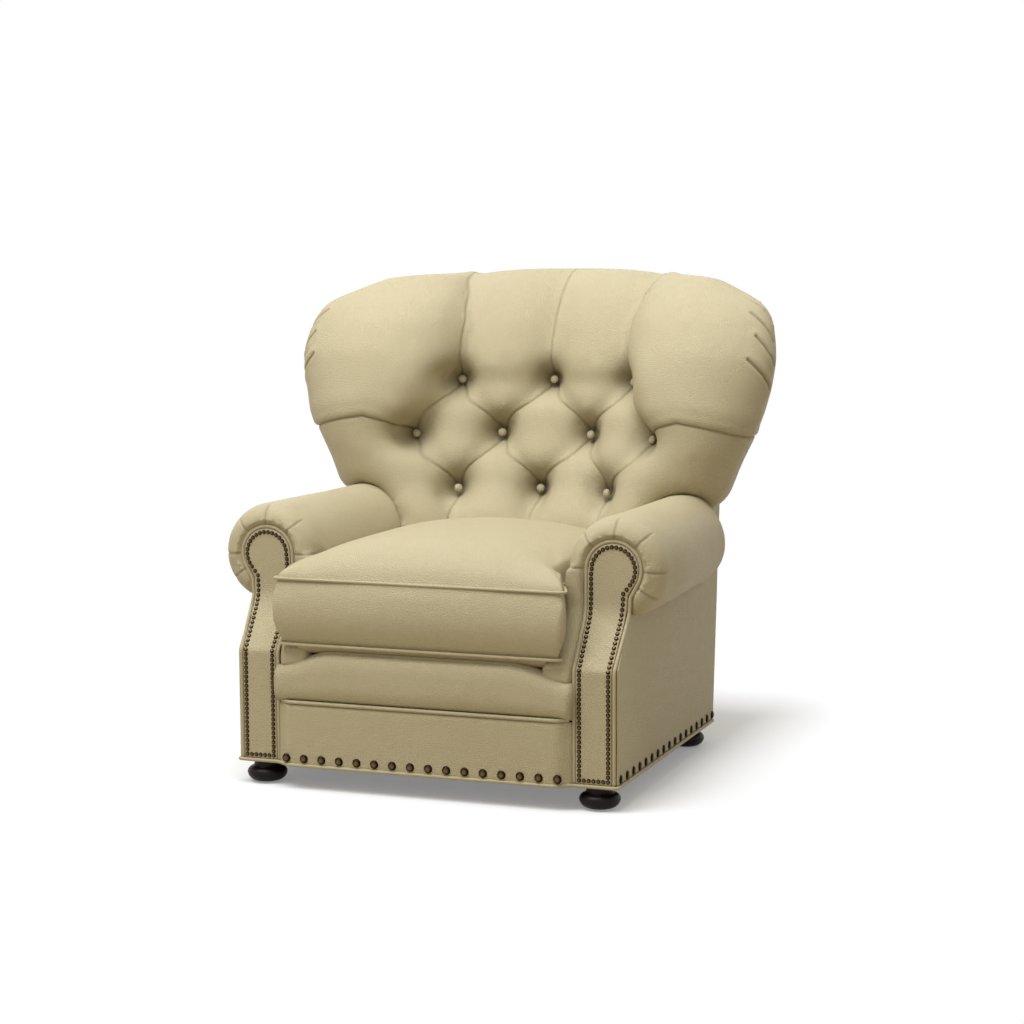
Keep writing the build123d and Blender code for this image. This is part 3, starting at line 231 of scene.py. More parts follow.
# Mesh helpers
def dress(mesh, material):
    mesh.materials.clear()
    mesh.materials.append(material)


def shade_smooth(mesh):
    mesh.polygons.foreach_set("use_smooth", [True] * len(mesh.polygons))


def add_object(name, mesh, material):
    piece = bpy.data.objects.new(name, mesh)
    bpy.context.scene.collection.objects.link(piece)
    dress(mesh, material)
    shade_smooth(mesh)
    return piece


def to_mesh(form, name):
    """A new mesh with a form's points and faces; the form is freed."""
    mesh = bpy.data.meshes.new(name)
    form.to_mesh(mesh)
    form.free()
    return mesh


def cad_form(sources):
    """Some CAD nodes as one form in the shared frame, with their doubled points joined."""
    form = bmesh.new()
    for source in sources:
        before = len(form.verts)
        form.from_mesh(nodes[source].data)
        form.verts.ensure_lookup_table()
        bmesh.ops.transform(form, matrix=nodes[source].matrix_world, verts=form.verts[before:])
    bmesh.ops.remove_doubles(form, verts=form.verts, dist=JOIN_GAP)
    return form


def baked(piece):
    """The piece's mesh with its modifiers applied."""
    view = bpy.context.evaluated_depsgraph_get()
    return bpy.data.meshes.new_from_object(piece.evaluated_get(view))


def settle(piece):
    """Applies a piece's modifiers to its own mesh."""
    mesh = baked(piece)
    old = piece.data
    piece.modifiers.clear()
    piece.data = mesh
    bpy.data.meshes.remove(old)


def add_soften(piece, passes):
    soften = piece.modifiers.new("soften", "SMOOTH")
    soften.factor = 0.5
    soften.iterations = passes


def add_rounding(piece, levels):
    rounding = piece.modifiers.new("round", "SUBSURF")
    rounding.levels = rounding.render_levels = levels


def shell(name, sources, voxel, passes, material, share=1.0):
    """One closed skin round some CAD nodes, with its corners softened and a share of its faces kept."""
    form = cad_form(sources)
    bmesh.ops.recalc_face_normals(form, faces=form.faces)
    piece = add_object(name, to_mesh(form, name), material)
    remesh = piece.modifiers.new("skin", "REMESH")
    remesh.mode = "VOXEL"
    remesh.voxel_size = voxel
    remesh.use_smooth_shade = True
    add_soften(piece, passes)
    if share < 1.0:
        thin = piece.modifiers.new("thin", "DECIMATE")
        thin.ratio = share
    settle(piece)
    dress(piece.data, material)
    return piece


def relax(piece, passes):
    add_soften(piece, passes)
    settle(piece)


def divide(piece):
    add_rounding(piece, 1)
    settle(piece)


def refine(piece, near):
    """Halves the edges of the chosen part of a skin, so that it can hold a thin crease."""
    form = bmesh.new()
    form.from_mesh(piece.data)
    form.verts.ensure_lookup_table()
    edges = [edge for edge in form.edges if near[edge.verts[0].index] and near[edge.verts[1].index]]
    bmesh.ops.subdivide_edges(form, edges=edges, cuts=1, use_grid_fill=True)
    form.to_mesh(piece.data)
    form.free()
    shade_smooth(piece.data)


def read(piece):
    """Points and outward normals of a piece."""
    mesh = piece.data
    count = len(mesh.vertices)
    points = np.empty(3 * count)
    normals = np.empty(3 * count)
    mesh.vertices.foreach_get("co", points)
    mesh.vertex_normals.foreach_get("vector", normals)
    return points.reshape(-1, 3), normals.reshape(-1, 3)


def write(piece, points):
    piece.data.vertices.foreach_set("co", np.ascontiguousarray(points).reshape(-1))
    piece.data.update()


def mark(piece, crease):
    """Stores how deep in a crease each point lies, as painted shade for the hide's colour."""
    layer = piece.data.attributes.get("crease") or piece.data.attributes.new("crease", "FLOAT", "POINT")
    layer.data.foreach_set("value", np.clip(crease, 0.0, 1.0).astype(np.float32))


def mark_plain(piece):
    """Stores that a piece has no creases and so no painted shade."""
    mark(piece, np.zeros(len(piece.data.vertices)))


def run_distance(points, line):
    """Distance of points to a run of straight segments, in as many axes as the line has."""
    nearest = np.full(len(points), FAR_AWAY)
    for start, end in zip(line, line[1:]):
        start, end = np.array(start), np.array(end)
        along = end - start
        share = np.clip((points - start) @ along / (along @ along), 0.0, 1.0)
        gap = np.linalg.norm(points - start - share[:, None] * along, axis=1)
        nearest = np.minimum(nearest, gap)
    return nearest


def ramp(value, low, high):
    """A smooth rise from 0 at low to 1 at high."""
    share = np.clip((value - low) / (high - low), 0.0, 1.0)
    return share * share * (3.0 - 2.0 * share)


def bell(gap, width):
    """1 where the gap is nothing, falling away over a width."""
    return np.exp(-(gap / width) ** 2)


# Least hold of the points that are pinned fast, and of those pinned in part
PINNED_FAST, PINNED_PART = 0.95, 0.4


def inflate(piece, pinned, cap, pressure=4.0, frames=20):
    """Lets air pressure swell a skin between its pinned lines, up to a cap."""
    before, _ = read(piece)
    group = piece.vertex_groups.new(name="pins")
    fast = pinned > PINNED_FAST
    for weight, chosen in ((1.0, fast), (0.6, (pinned > PINNED_PART) & ~fast)):
        group.add([int(index) for index in np.nonzero(chosen)[0]], weight, "REPLACE")
    cloth = piece.modifiers.new("swell", "CLOTH")
    settings = cloth.settings
    settings.quality = 4
    settings.mass = 0.6
    settings.tension_stiffness = 22.0
    settings.compression_stiffness = 22.0
    settings.shear_stiffness = 8.0
    settings.bending_stiffness = 3.0
    settings.use_pressure = True
    settings.uniform_pressure_force = pressure
    settings.vertex_group_mass = group.name
    settings.effector_weights.gravity = 0.0
    cloth.collision_settings.use_collision = False
    cloth.point_cache.frame_start = 1
    cloth.point_cache.frame_end = frames
    scene = bpy.context.scene
    for step in range(1, frames + 1):
        scene.frame_set(step)
    mesh = baked(piece)
    after = np.empty(3 * len(mesh.vertices))
    mesh.vertices.foreach_get("co", after)
    bpy.data.meshes.remove(mesh)
    piece.modifiers.clear()
    piece.vertex_groups.clear()
    scene.frame_set(1)
    move = after.reshape(-1, 3) - before
    size = np.linalg.norm(move, axis=1, keepdims=True)
    move *= np.minimum(1.0, cap / np.maximum(size, 1e-9))
    write(piece, before + move)


def finish_soft(piece, body, replaced, levels=0):
    """Files a leather cover under its body and hides its CAD nodes and its filling, first rounding it if
    levels are given.
    """
    if levels:
        add_rounding(piece, levels)
    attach(piece, body)
    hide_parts(*replaced)


def mirrored(piece, name):
    """The same soft piece on the other side."""
    form = bmesh.new()
    form.from_mesh(piece.data)
    bmesh.ops.scale(form, vec=(-1.0, 1.0, 1.0), verts=form.verts)
    bmesh.ops.reverse_faces(form, faces=form.faces)
    return add_object(name, to_mesh(form, name), piece.data.materials[0])


# Tufted back and wings under one cover: places of the buttons and pleats as (across, height)
LOW, MID, TOP = 0.560, 0.682, 0.803
BUTTONS = [(0.0, LOW), (0.177, LOW), (0.107, MID), (0.281, MID), (0.0, TOP), (0.207, TOP)]
LOW_MIDDLE, LOW_SIDE, MID_INNER, MID_OUTER, TOP_MIDDLE, TOP_SIDE = BUTTONS
PLEAT_SAG, WING_SAG, PLEAT_FOOT, PLEAT_HEAD = 0.007, 0.006, 0.30, 1.20


def swept(start, end, sag):
    """A pleat from button to button, bowed sideways by a sag."""
    start, end = np.array(start), np.array(end)
    along = end - start
    aside = np.array((-along[1], along[0])) / np.linalg.norm(along)
    shares = np.linspace(0.0, 1.0, 9)
    return [tuple(start + along * s + aside * sag * math.sin(2.0 * math.pi * s)) for s in shares]


DIAGONALS = [
    swept(LOW_MIDDLE, MID_INNER, PLEAT_SAG),
    swept(MID_INNER, TOP_MIDDLE, -PLEAT_SAG),
    swept(LOW_SIDE, MID_INNER, -PLEAT_SAG),
    swept(MID_INNER, TOP_SIDE, PLEAT_SAG),
    swept(LOW_SIDE, MID_OUTER, WING_SAG),
    swept(MID_OUTER, TOP_SIDE, -WING_SAG),
]
UPRIGHTS = [
    (LOW_MIDDLE, (0.0, PLEAT_FOOT)),
    (LOW_SIDE, (0.165, PLEAT_FOOT)),
    (TOP_MIDDLE, (0.0, PLEAT_HEAD)),
    (TOP_SIDE, (0.199, 0.870), (0.200, 0.940), (0.214, 1.0), (0.238, 1.050), (0.238, PLEAT_HEAD)),
]
# Seam across the right wing as (across, height), and both ends of each tuck along the wing's upper edge
SEAM = [(0.281, 0.688), (0.318, 0.714), (0.367, 0.727), (0.420, 0.719), (0.464, 0.709), (0.520, 0.692)]
TUCKS = [((0.474, 0.189, 0.997), (0.545, 0.175, 0.945)), ((0.503, 0.145, 0.963), (0.552, 0.150, 0.900)),
         ((0.522, 0.114, 0.914), (0.557, 0.135, 0.850)), ((0.512, 0.082, 0.864), (0.555, 0.128, 0.798))]
# Top of the chair as (across, height)
CROWN = [(0.0, 1.056), (0.12, 1.053), (0.237, 1.045), (0.33, 1.040), (0.413, 1.033), (0.60, 1.030)]


def half_plan(points):
    return np.stack([np.abs(points[:, 0]), points[:, 2]], axis=1)


def nearest_run(points, runs):
    return np.minimum.reduce([run_distance(half_plan(points), run) for run in runs])


def button_gap(points):
    flat = half_plan(points)
    return np.minimum.reduce([np.linalg.norm(flat - np.array(spot), axis=1) for spot in BUTTONS])


# Height from which the crown is stretched, tops of the CAD pads, and the room left for swelling
NECK, PAD_HALF, PAD_TOP, WING_TOP, CROWN_ROOM = 0.90, 0.236, 1.050, 1.032, 0.008
# The wings' waist as (height, spread), puffs, wells and ledge as (rise, width), and the lift of the rest
WING_WAIST, WING_DRAW, FOOT_SPREAD = (0.64, 0.085), 0.008, 0.58
PUFF, WELL, LEDGE, FRONT_LIFT, REAR_LIFT = (0.008, 0.026), (0.030, 0.037), (0.006, 0.035), 0.007, 0.005
PLEAT_HOLD, BUTTON_HOLD = 0.008, 0.020
# Creases as (depth, width), raised edges beside them as (rise, offset, width), and the painted shade over a
# button as (rise above it, width)
PLEAT, UPRIGHT, DIMPLE = (0.0030, 0.0030), (0.0022, 0.0026), (0.010, 0.017)
WING_SEAM, TUCK = (0.0038, 0.0030), (0.0046, 0.0030)
SEAM_EDGE, TUCK_EDGE = (0.0020, 0.012, 0.009), (0.0020, 0.010, 0.007)
WELL_SHADE, WELL_SHADE_WIDTH = 0.024, 0.040
CREASE_BANDS, SWELL_CAP = (0.010, 0.0065), 0.009
BACK_NODES = ["inside_back_pad", "left_lower_wing_pad", "left_upper_wing_pad", "right_lower_wing_pad",
              "right_upper_wing_pad"]


def seam_height(points):
    """Height of each point over the seam across the wings."""
    return points[:, 2] - np.interp(np.abs(points[:, 0]), [p[0] for p in SEAM], [p[1] for p in SEAM])


def laid_tucks(piece):
    """The tucks of the right wing as lines on the skin."""
    lines = []
    for start, end in TUCKS:
        start, end = Vector(start), Vector(end)
        line = [start.lerp(end, step / 8) for step in range(9)]
        lines.append([tuple(piece.closest_point_on_mesh(place)[1]) for place in line])
    return lines


def tuck_gap(points, lines):
    """Distance to the nearest tuck on either wing."""
    right = np.stack([np.abs(points[:, 0]), points[:, 1], points[:, 2]], axis=1)
    return np.minimum.reduce([run_distance(right, line) for line in lines])


def front_facing(normals):
    return ramp(-normals[:, 1] + 0.6 * np.maximum(normals[:, 2], 0.0), 0.0, 0.35)


def shape_back(back):
    """The crown's line, the drawn-in lower wings, and the broad puffs and wells."""
    points, _ = read(back)
    width, height = np.abs(points[:, 0]), points[:, 2]
    crown = np.interp(width, [c[0] for c in CROWN], [c[1] for c in CROWN])
    flat_top = np.where(width < PAD_HALF, PAD_TOP, WING_TOP)
    rise = np.where(height > NECK, (crown - CROWN_ROOM - NECK) / (flat_top - NECK), 1.0)
    points[:, 2] = np.where(height > NECK, NECK + (height - NECK) * rise, height)
    drawn = WING_DRAW * bell(height - WING_WAIST[0], WING_WAIST[1]) * ramp(width, 0.30, 0.44)
    points[:, 0] -= np.sign(points[:, 0]) * drawn
    points[:, 0] *= 1.0 + FOOT_SPREAD * ramp(-height, -0.445, -0.425)
    write(back, points)
    relax(back, 10)
    points, normals = read(back)
    facing = front_facing(normals)
    lower = np.where(points[:, 2] < 0.81, nearest_run(points, UPRIGHTS), FAR_AWAY)
    pleat = np.minimum(nearest_run(points, DIAGONALS), lower)
    seat = button_gap(points)
    tufted = (1.0 - ramp(points[:, 2], 0.80, 0.90)) * (1.0 - ramp(np.abs(points[:, 0]), 0.28, 0.36))
    puff = PUFF[0] * (1.0 - bell(pleat, PUFF[1])) * tufted
    lift = puff + FRONT_LIFT - WELL[0] * bell(seat, WELL[1])
    above = seam_height(points)
    ledge = bell(above - LEDGE[1], LEDGE[1]) * ramp(above, -0.004, 0.010)
    lift += LEDGE[0] * ledge * ramp(np.abs(points[:, 0]), 0.27, 0.31)
    write(back, points + normals * (lift * facing + REAR_LIFT * (1.0 - facing))[:, None])
    held = np.maximum(bell(pleat, PLEAT_HOLD), bell(seat, BUTTON_HOLD))
    return np.maximum(held * facing, 1.0 - facing)


def crease_back(back, tucks):
    """Thin pleats, the wings' seam and tucks, and the wells of the buttons, with painted shade in them and
    just above each button.
    """
    points, normals = read(back)
    facing = front_facing(normals)
    pleat = bell(nearest_run(points, DIAGONALS), PLEAT[1]) * facing
    upright = bell(nearest_run(points, UPRIGHTS), UPRIGHT[1]) * facing
    well = bell(button_gap(points), DIMPLE[1]) * facing
    outer = ramp(np.abs(points[:, 0]), 0.279, 0.285) * (1.0 - ramp(normals[:, 1], 0.3, 0.6))
    above = seam_height(points)
    seam = bell(above, WING_SEAM[1]) * outer
    ledge = bell(above - SEAM_EDGE[1], SEAM_EDGE[2]) * outer
    gap = tuck_gap(points, tucks)
    deeper = ramp(np.abs(points[:, 0]), 0.460, 0.530)
    tuck = bell(gap, TUCK[1]) * deeper
    swell = bell(gap - TUCK_EDGE[1], TUCK_EDGE[2]) * deeper
    depth = PLEAT[0] * pleat + UPRIGHT[0] * upright + DIMPLE[0] * well
    depth += WING_SEAM[0] * seam - SEAM_EDGE[0] * ledge
    depth += TUCK[0] * tuck - TUCK_EDGE[0] * swell
    write(back, points - normals * depth[:, None])
    # Painted shade: pleats, seam, tucks and wells go dark, and a patch just above each button where the
    # well's upper wall falls in shade
    shade_above_button = bell(button_gap(points - (0.0, 0.0, WELL_SHADE)), WELL_SHADE_WIDTH) * facing
    mark(back, 0.26 * pleat + 0.26 * upright + 0.5 * well + 0.45 * seam + 0.55 * tuck + 0.48 * shade_above_button)


def near_creases(points, tucks):
    """Distance to the nearest crease of the back and the wings."""
    lines = np.minimum(nearest_run(points, DIAGONALS), nearest_run(points, UPRIGHTS))
    lines = np.minimum(lines, tuck_gap(points, tucks))
    on_wing = np.where(np.abs(points[:, 0]) > 0.275, np.abs(seam_height(points)), FAR_AWAY)
    return np.minimum(lines, on_wing)


back = shell("tufted_back", BACK_NODES, 0.0115, 24, HIDE)
inflate(back, shape_back(back), SWELL_CAP)
divide(back)
wing_tucks = laid_tucks(back)
for band in CREASE_BANDS:
    spots, facings = read(back)
    refine(back, (near_creases(spots, wing_tucks) < band) & (facings[:, 1] < 0.3))
crease_back(back, wing_tucks)
finish_soft(back, "chair", BACK_NODES)

# Rolled arms with the gathers round the front of the roll
GATHER_ANGLES, GATHER_DEPTH, GATHER_WIDTH = (-35, -3, 45, 88, 135, 180), 0.0018, 0.0030
FOOT_BACK, FOOT_DROP, NOSE_FULLNESS, REAR_TAPER, ARM_CAP = 0.045, 0.014, 0.022, 0.016, 0.004


def gather_lines(points):
    """Creases that run out from the arm's front panel over the nose of the roll."""
    across, up = points[:, 0] - ROLL_X, points[:, 2] - ROLL_Z
    radius = np.hypot(across, up)
    lines = np.zeros(len(points))
    for degrees in GATHER_ANGLES:
        turn = (np.arctan2(up, across) - math.radians(degrees) + math.pi) % (2 * math.pi) - math.pi
        lines = np.maximum(lines, bell(turn * radius, GATHER_WIDTH))
    nose = 1.0 - ramp(points[:, 1], ROLL_NOSE + 0.018, ROLL_NOSE + 0.048)
    return lines * nose * ramp(radius, 0.056, 0.066)


def shape_arm(arm):
    """The foot of the pad drawn back behind the edge roll, and the roll tapered to its rear end."""
    points, _ = read(arm)
    foot = ramp(-points[:, 2], -0.264, -0.256) * ramp(-points[:, 1], 0.42, 0.47)
    points[:, 1] += FOOT_BACK * foot
    points[:, 2] -= FOOT_DROP * ramp(-points[:, 2], -0.290, -0.264) * ramp(-points[:, 1], 0.38, 0.43)
    level = ramp(points[:, 2], 0.235, 0.262) * (1.0 - ramp(points[:, 2], 0.302, 0.338))
    inside = (1.0 - ramp(points[:, 0], 0.275, 0.300)) * ramp(-points[:, 1], 0.38, 0.44)
    points[:, 0] -= NOSE_FULLNESS * level * inside
    rear = ramp(points[:, 1], -0.35, 0.10) * ramp(points[:, 0] - ROLL_X, 0.0, 0.09)
    points[:, 0] -= REAR_TAPER * rear
    write(arm, points)
    radius = np.hypot(points[:, 0] - ROLL_X, points[:, 2] - ROLL_Z)
    rim = ramp(-points[:, 1], 0.435, 0.445) * (1.0 - ramp(radius, 0.066, 0.074))
    return np.maximum(rim, ramp(-points[:, 2], -0.30, -0.28))


arm = shell("right_arm", ["right_arm_pad"], 0.0062, 8, HIDE)
inflate(arm, shape_arm(arm), ARM_CAP)
relax(arm, 3)
divide(arm)
spots, _ = read(arm)
refine(arm, gather_lines(spots) > 0.001)
spots, facings = read(arm)
gathers = gather_lines(spots)
write(arm, spots - facings * (GATHER_DEPTH * gathers)[:, None])
# Painted shade in the gathers
mark(arm, 0.45 * gathers)
left_arm = mirrored(arm, "left_arm")
finish_soft(arm, "chair", ["right_arm_pad"])
finish_soft(left_arm, "chair", ["left_arm_pad"])

# Front border, arm panels and the deck under the cushion
ROLL_STATIONS, ROLL_SIDES, ROLL_SQUARE = 49, 56, 0.62
ROLL_DROOP, ROLL_SHOULDER, ROLL_SETBACK, END_LAP, HEM_DROP = 0.034, 0.012, 0.003, 0.0025, 0.006


def squared(part):
    """A sine or cosine drawn out towards the corners of the roll's section."""
    return math.copysign(abs(part) ** ROLL_SQUARE, part)


def edge_roll():
    """Soft roll under the cushion's nose, from arm panel to arm panel and lower at its ends."""
    low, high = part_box("front_edge_roll")
    half, front, foot, top = high[0] + END_LAP, low[1], low[2], high[2]
    depth = (high[1] - front) / 2
    form = bmesh.new()
    rings = []
    for station in range(ROLL_STATIONS):
        x = half * (2 * station / (ROLL_STATIONS - 1) - 1)
        end = float(ramp(abs(x), 0.60 * half, half))
        middle = (foot + top + ROLL_SHOULDER - ROLL_DROOP * end) / 2
        ring = []
        for side in range(ROLL_SIDES):
            turn = 2 * math.pi * side / ROLL_SIDES
            away, up = squared(math.cos(turn)), squared(math.sin(turn))
            y = front + ROLL_SETBACK * end + depth * (1 - away)
            ring.append(form.verts.new((x, y, middle + (middle - foot) * up)))
        rings.append(ring)
    for near, far in zip(rings, rings[1:]):
        for side in range(ROLL_SIDES):
            after = (side + 1) % ROLL_SIDES
            form.faces.new((near[side], near[after], far[after], far[side]))
    for ring in (rings[0], rings[-1]):
        form.faces.new(ring)
    bmesh.ops.recalc_face_normals(form, faces=form.faces)
    return add_object("edge_roll", to_mesh(form, "edge_roll"), HIDE)


edge = edge_roll()
mark_plain(edge)
finish_soft(edge, "chair", ["front_edge_roll"])
border = shell("front_border", ["front_panel"], 0.004, 4, HIDE)
spots, _ = read(border)
spots[:, 0] += np.sign(spots[:, 0]) * END_LAP * ramp(np.abs(spots[:, 0]), 0.28, 0.31)
spots[:, 2] -= HEM_DROP * ramp(-spots[:, 2], -0.080, -0.058)
write(border, spots)
mark_plain(border)
finish_soft(border, "chair", ["front_panel"])
for side in ("right", "left"):
    panel = shell(f"{side}_arm_front", [f"{side}_arm_front_panel"], 0.003, 2, HIDE)
    mark_plain(panel)
    finish_soft(panel, "chair", [f"{side}_arm_front_panel"])
deck = shell("deck", ["seat_deck"], 0.008, 4, DECK)
finish_soft(deck, "chair", ["seat_deck"])

# Loose seat cushion: its seams, its plan with the two ears before the arms, and its swelling
SEAM_HIGH, SEAM_LOW = 0.434, 0.300
CUSHION_HALF, CUSHION_MIDDLE, CUSHION_REACH = 0.322, -0.2300, 0.3120
CUSHION_NOSE, CROWN_RISE, BELLY = -0.5405, 0.080, 0.021
SIDE, EAR_HIGH, EAR_LOW, NOSE_ASIDE = 0.2690, 0.3190, 0.3070, 0.006
EAR_TAPER, EAR_DEPTH, EAR_RISE, CUSHION_BACK = 0.030, 0.075, 0.010, 0.0742
NOSE_SWELL, EAR_SWELL, SEAM_BAND, CUSHION_CAP, PIPE_RADIUS = 0.013, 0.003, 0.006, 0.004, 0.0031
CUSHION_NODES = ["cushion_core", "cushion_top_panel", "cushion_boxing", "cushion_bottom_panel"]


def shape_cushion(cushion):
    """Crown from welt to welt, swelling sides, and a belly that rests on the edge roll."""
    points, normals = read(cushion)
    width = np.abs(points[:, 0])
    ear = EAR_LOW + (EAR_HIGH - EAR_LOW) * ramp(points[:, 2], SEAM_LOW, SEAM_LOW + 0.06) - 0.004
    ear -= EAR_TAPER * np.clip((points[:, 1] - CUSHION_NOSE) / EAR_DEPTH, 0.0, 1.0)
    drawn = SIDE + (width - SIDE) * (ear - SIDE) / (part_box("cushion_core")[1][0] - SIDE)
    width = np.where((width > SIDE) & (points[:, 1] < -0.40), drawn, width)
    points[:, 0] = np.sign(points[:, 0]) * width
    across = np.clip(width / CUSHION_HALF, 0.0, 1.0)
    along = np.clip(np.abs(points[:, 1] - CUSHION_MIDDLE) / CUSHION_REACH, 0.0, 1.0)
    dome = CROWN_RISE * (1.0 - across ** 2.2) ** 0.72 * (1.0 - along ** 4.6) ** 0.62
    ear_top = bell(width - 0.282, 0.022) * ramp(-points[:, 1], 0.450, 0.505)
    dome += EAR_RISE * ear_top * (1.0 - along ** 9) ** 0.6
    on_top = ramp(points[:, 2], SEAM_HIGH - 0.008, SEAM_HIGH - 0.001) * ramp(normals[:, 2], 0.1, 0.5)
    points[:, 2] += on_top * (SEAM_HIGH + 0.004 + dome - points[:, 2])
    swell = np.sin(np.pi * np.clip((points[:, 2] - SEAM_LOW) / (SEAM_HIGH - SEAM_LOW), 0.0, 1.0))
    points[:, 1] -= NOSE_SWELL * swell * ramp(-normals[:, 1], 0.3, 0.9)
    on_ear = ramp(np.abs(normals[:, 0]), 0.3, 0.9) * ramp(-points[:, 1], 0.46, 0.48)
    points[:, 0] += np.sign(points[:, 0]) * EAR_SWELL * swell * on_ear
    belly = SEAM_LOW - 0.001 - BELLY * ramp(points[:, 1] - CUSHION_NOSE, 0.0, 0.034)
    low = ramp(-normals[:, 2], 0.15, 0.5) * ramp(-points[:, 2], -SEAM_LOW - 0.004, -SEAM_LOW + 0.002)
    points[:, 2] += low * np.minimum(belly - points[:, 2], 0.0)
    points[:, 0] -= NOSE_ASIDE * ramp(-points[:, 1], 0.38, 0.50)
    write(cushion, points)
    sides = 1.0 - ramp(np.abs(normals[:, 2]), 0.75, 0.95)
    seams = np.maximum(bell(points[:, 2] - SEAM_HIGH, SEAM_BAND), bell(points[:, 2] - SEAM_LOW, SEAM_BAND))
    seams = seams * sides
    return seams, np.maximum(seams, ramp(-points[:, 2], -0.296, -0.288))


cushion = shell("seat_cushion", ["cushion_core"], 0.007, 8, HIDE)
seams, held = shape_cushion(cushion)
inflate(cushion, held, CUSHION_CAP)
relax(cushion, 9)
# Painted shade along the cushion's seams
mark(cushion, 0.25 * seams)
finish_soft(cushion, "cushion", CUSHION_NODES, 1)


def tube(name, lines, radius, material):
    """Round piping along smooth closed or open lines."""
    path = bpy.data.curves.new(name, "CURVE")
    path.dimensions = "3D"
    path.bevel_depth = radius
    path.bevel_resolution = 3
    path.use_fill_caps = True
    path.resolution_u = 8
    for line, closed in lines:
        spline = path.splines.new("NURBS")
        spline.points.add(len(line) - 1)
        for point, place in zip(spline.points, line):
            point.co = (*place, 1.0)
        spline.use_cyclic_u = closed
        spline.use_endpoint_u = not closed
        spline.order_u = 3
    holder = bpy.data.objects.new(name + " path", path)
    bpy.context.scene.collection.objects.link(holder)
    mesh = baked(holder)
    bpy.data.objects.remove(holder)
    mesh.name = name
    return add_object(name, mesh, material)


def cushion_loop(height, ear, ear_y):
    """Plan of the cushion's seam at a height, round the ears and between the arms."""
    front, back, half = CUSHION_NOSE, CUSHION_BACK, SIDE
    taper = EAR_TAPER * (ear_y - front) / EAR_DEPTH
    right = [(0.0, front), (0.20, front), (ear - 0.030, front), (ear - 0.007, front + 0.003),
             (ear - 0.2 * taper, front + 0.014), (ear - 0.55 * taper, (front + ear_y) / 2),
             (ear - taper - 0.003, ear_y), (half + 0.006, ear_y + 0.006), (half, ear_y + 0.018),
             (half, -0.30), (half, 0.03), (half - 0.006, back), (half - 0.04, back), (0.0, back)]
    left = [(-x, y) for x, y in reversed(right[1:-1])]
    return [(x - NOSE_ASIDE * float(ramp(-y, 0.38, 0.50)), y, height) for x, y in right + left]


welts = tube("cushion_piping", [(cushion_loop(SEAM_HIGH, EAR_HIGH, -0.461), True),
                                (cushion_loop(SEAM_LOW, EAR_LOW, -0.519), True)], PIPE_RADIUS, PIPING)
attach(welts, "cushion")
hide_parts("cushion_welts")

# Piping on the frame
for source in ("base_welt", "front_border_welt", "left_arm_panel_welt", "right_arm_panel_welt"):
    piece = shell(source.replace("welt", "piping"), [source], 0.0018, 3, PIPING)
    mark_plain(piece)
    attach(piece, "chair")
    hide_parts(source)


# Leather buttons: how far a button's points reach, its form, and the width of the curved back at each row
BUTTON_REACH, BUTTON_RADIUS, BUTTON_FLATNESS, BUTTON_SINK, BUTTON_TILT = 0.02, 0.0095, 0.62, 0.004, 0.36
BACK_WIDTHS = {LOW: 0.505, MID: 0.705, TOP: 0.84}


def button_set():
    """A flattened ball in the place of each CAD button, turned to face out of the curved back."""
    form = bmesh.new()
    source = cad_form(["back_buttons"])
    for across, height in BUTTONS:
        for side in ((1, -1) if across else (1,)):
            near = [vert.co for vert in source.verts if abs(vert.co.x - side * across) < BUTTON_REACH]
            face_y = min(co.y for co in near if abs(co.z - height) < BUTTON_REACH)
            out = Vector((-side * 2 * across / BACK_WIDTHS[height], -1.0, BUTTON_TILT)).normalized()
            turn = out.to_track_quat("Z", "Y").to_matrix().to_4x4()
            place = Matrix.Translation(Vector((side * across, face_y + BUTTON_SINK, height))) @ turn
            place = place @ Matrix.Diagonal((1.0, 1.0, BUTTON_FLATNESS, 1.0))
            bmesh.ops.create_uvsphere(form, u_segments=24, v_segments=14, radius=BUTTON_RADIUS,
                                      matrix=place)
    source.free()
    bmesh.ops.recalc_face_normals(form, faces=form.faces)
    return add_object("tuft_buttons", to_mesh(form, "buttons"), PIPING)


buttons = button_set()
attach(buttons, "chair")
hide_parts("back_buttons")

# Outside arms, lapped under the piping of the arm fronts, and the outside back
PANEL_LAP, PANEL_RISE, BACK_RISE, BACK_RAKE = 0.005, 0.014, 0.026, 0.25
for side in ("right", "left"):
    panel = shell(f"{side}_outside_arm", [f"{side}_outside_arm_panel"], 0.0018, 2, HIDE, 0.15)
    spots, _ = read(panel)
    spots[:, 1] -= PANEL_LAP * ramp(-spots[:, 1], 0.40, 0.50)
    spots[:, 2] += PANEL_RISE * ramp(spots[:, 2], 0.330, 0.364)
    write(panel, spots)
    mark_plain(panel)
    finish_soft(panel, "chair", [f"{side}_outside_arm_panel"])
rear = shell("outside_back", ["outside_back_panel"], 0.003, 3, HIDE, 0.2)
spots, _ = read(rear)
lifted = BACK_RISE * ramp(spots[:, 2], 0.86, 0.95)
spots += np.stack([0.0 * lifted, BACK_RAKE * lifted, lifted], axis=1)
write(rear, spots)
mark_plain(rear)
finish_soft(rear, "chair", ["outside_back_panel"])


# Domed nails, each a dome of few faces in the place of its CAD nail
NAIL_RISE = 0.55


def islands(form):
    """The loose parts of a mesh, each as a list of its faces."""
    unseen = set(form.faces)
    while unseen:
        queue = [unseen.pop()]
        group = []
        while queue:
            face = queue.pop()
            group.append(face)
            linked = {other for edge in face.edges for other in edge.link_faces} & unseen
            unseen -= linked
            queue += linked
        yield group


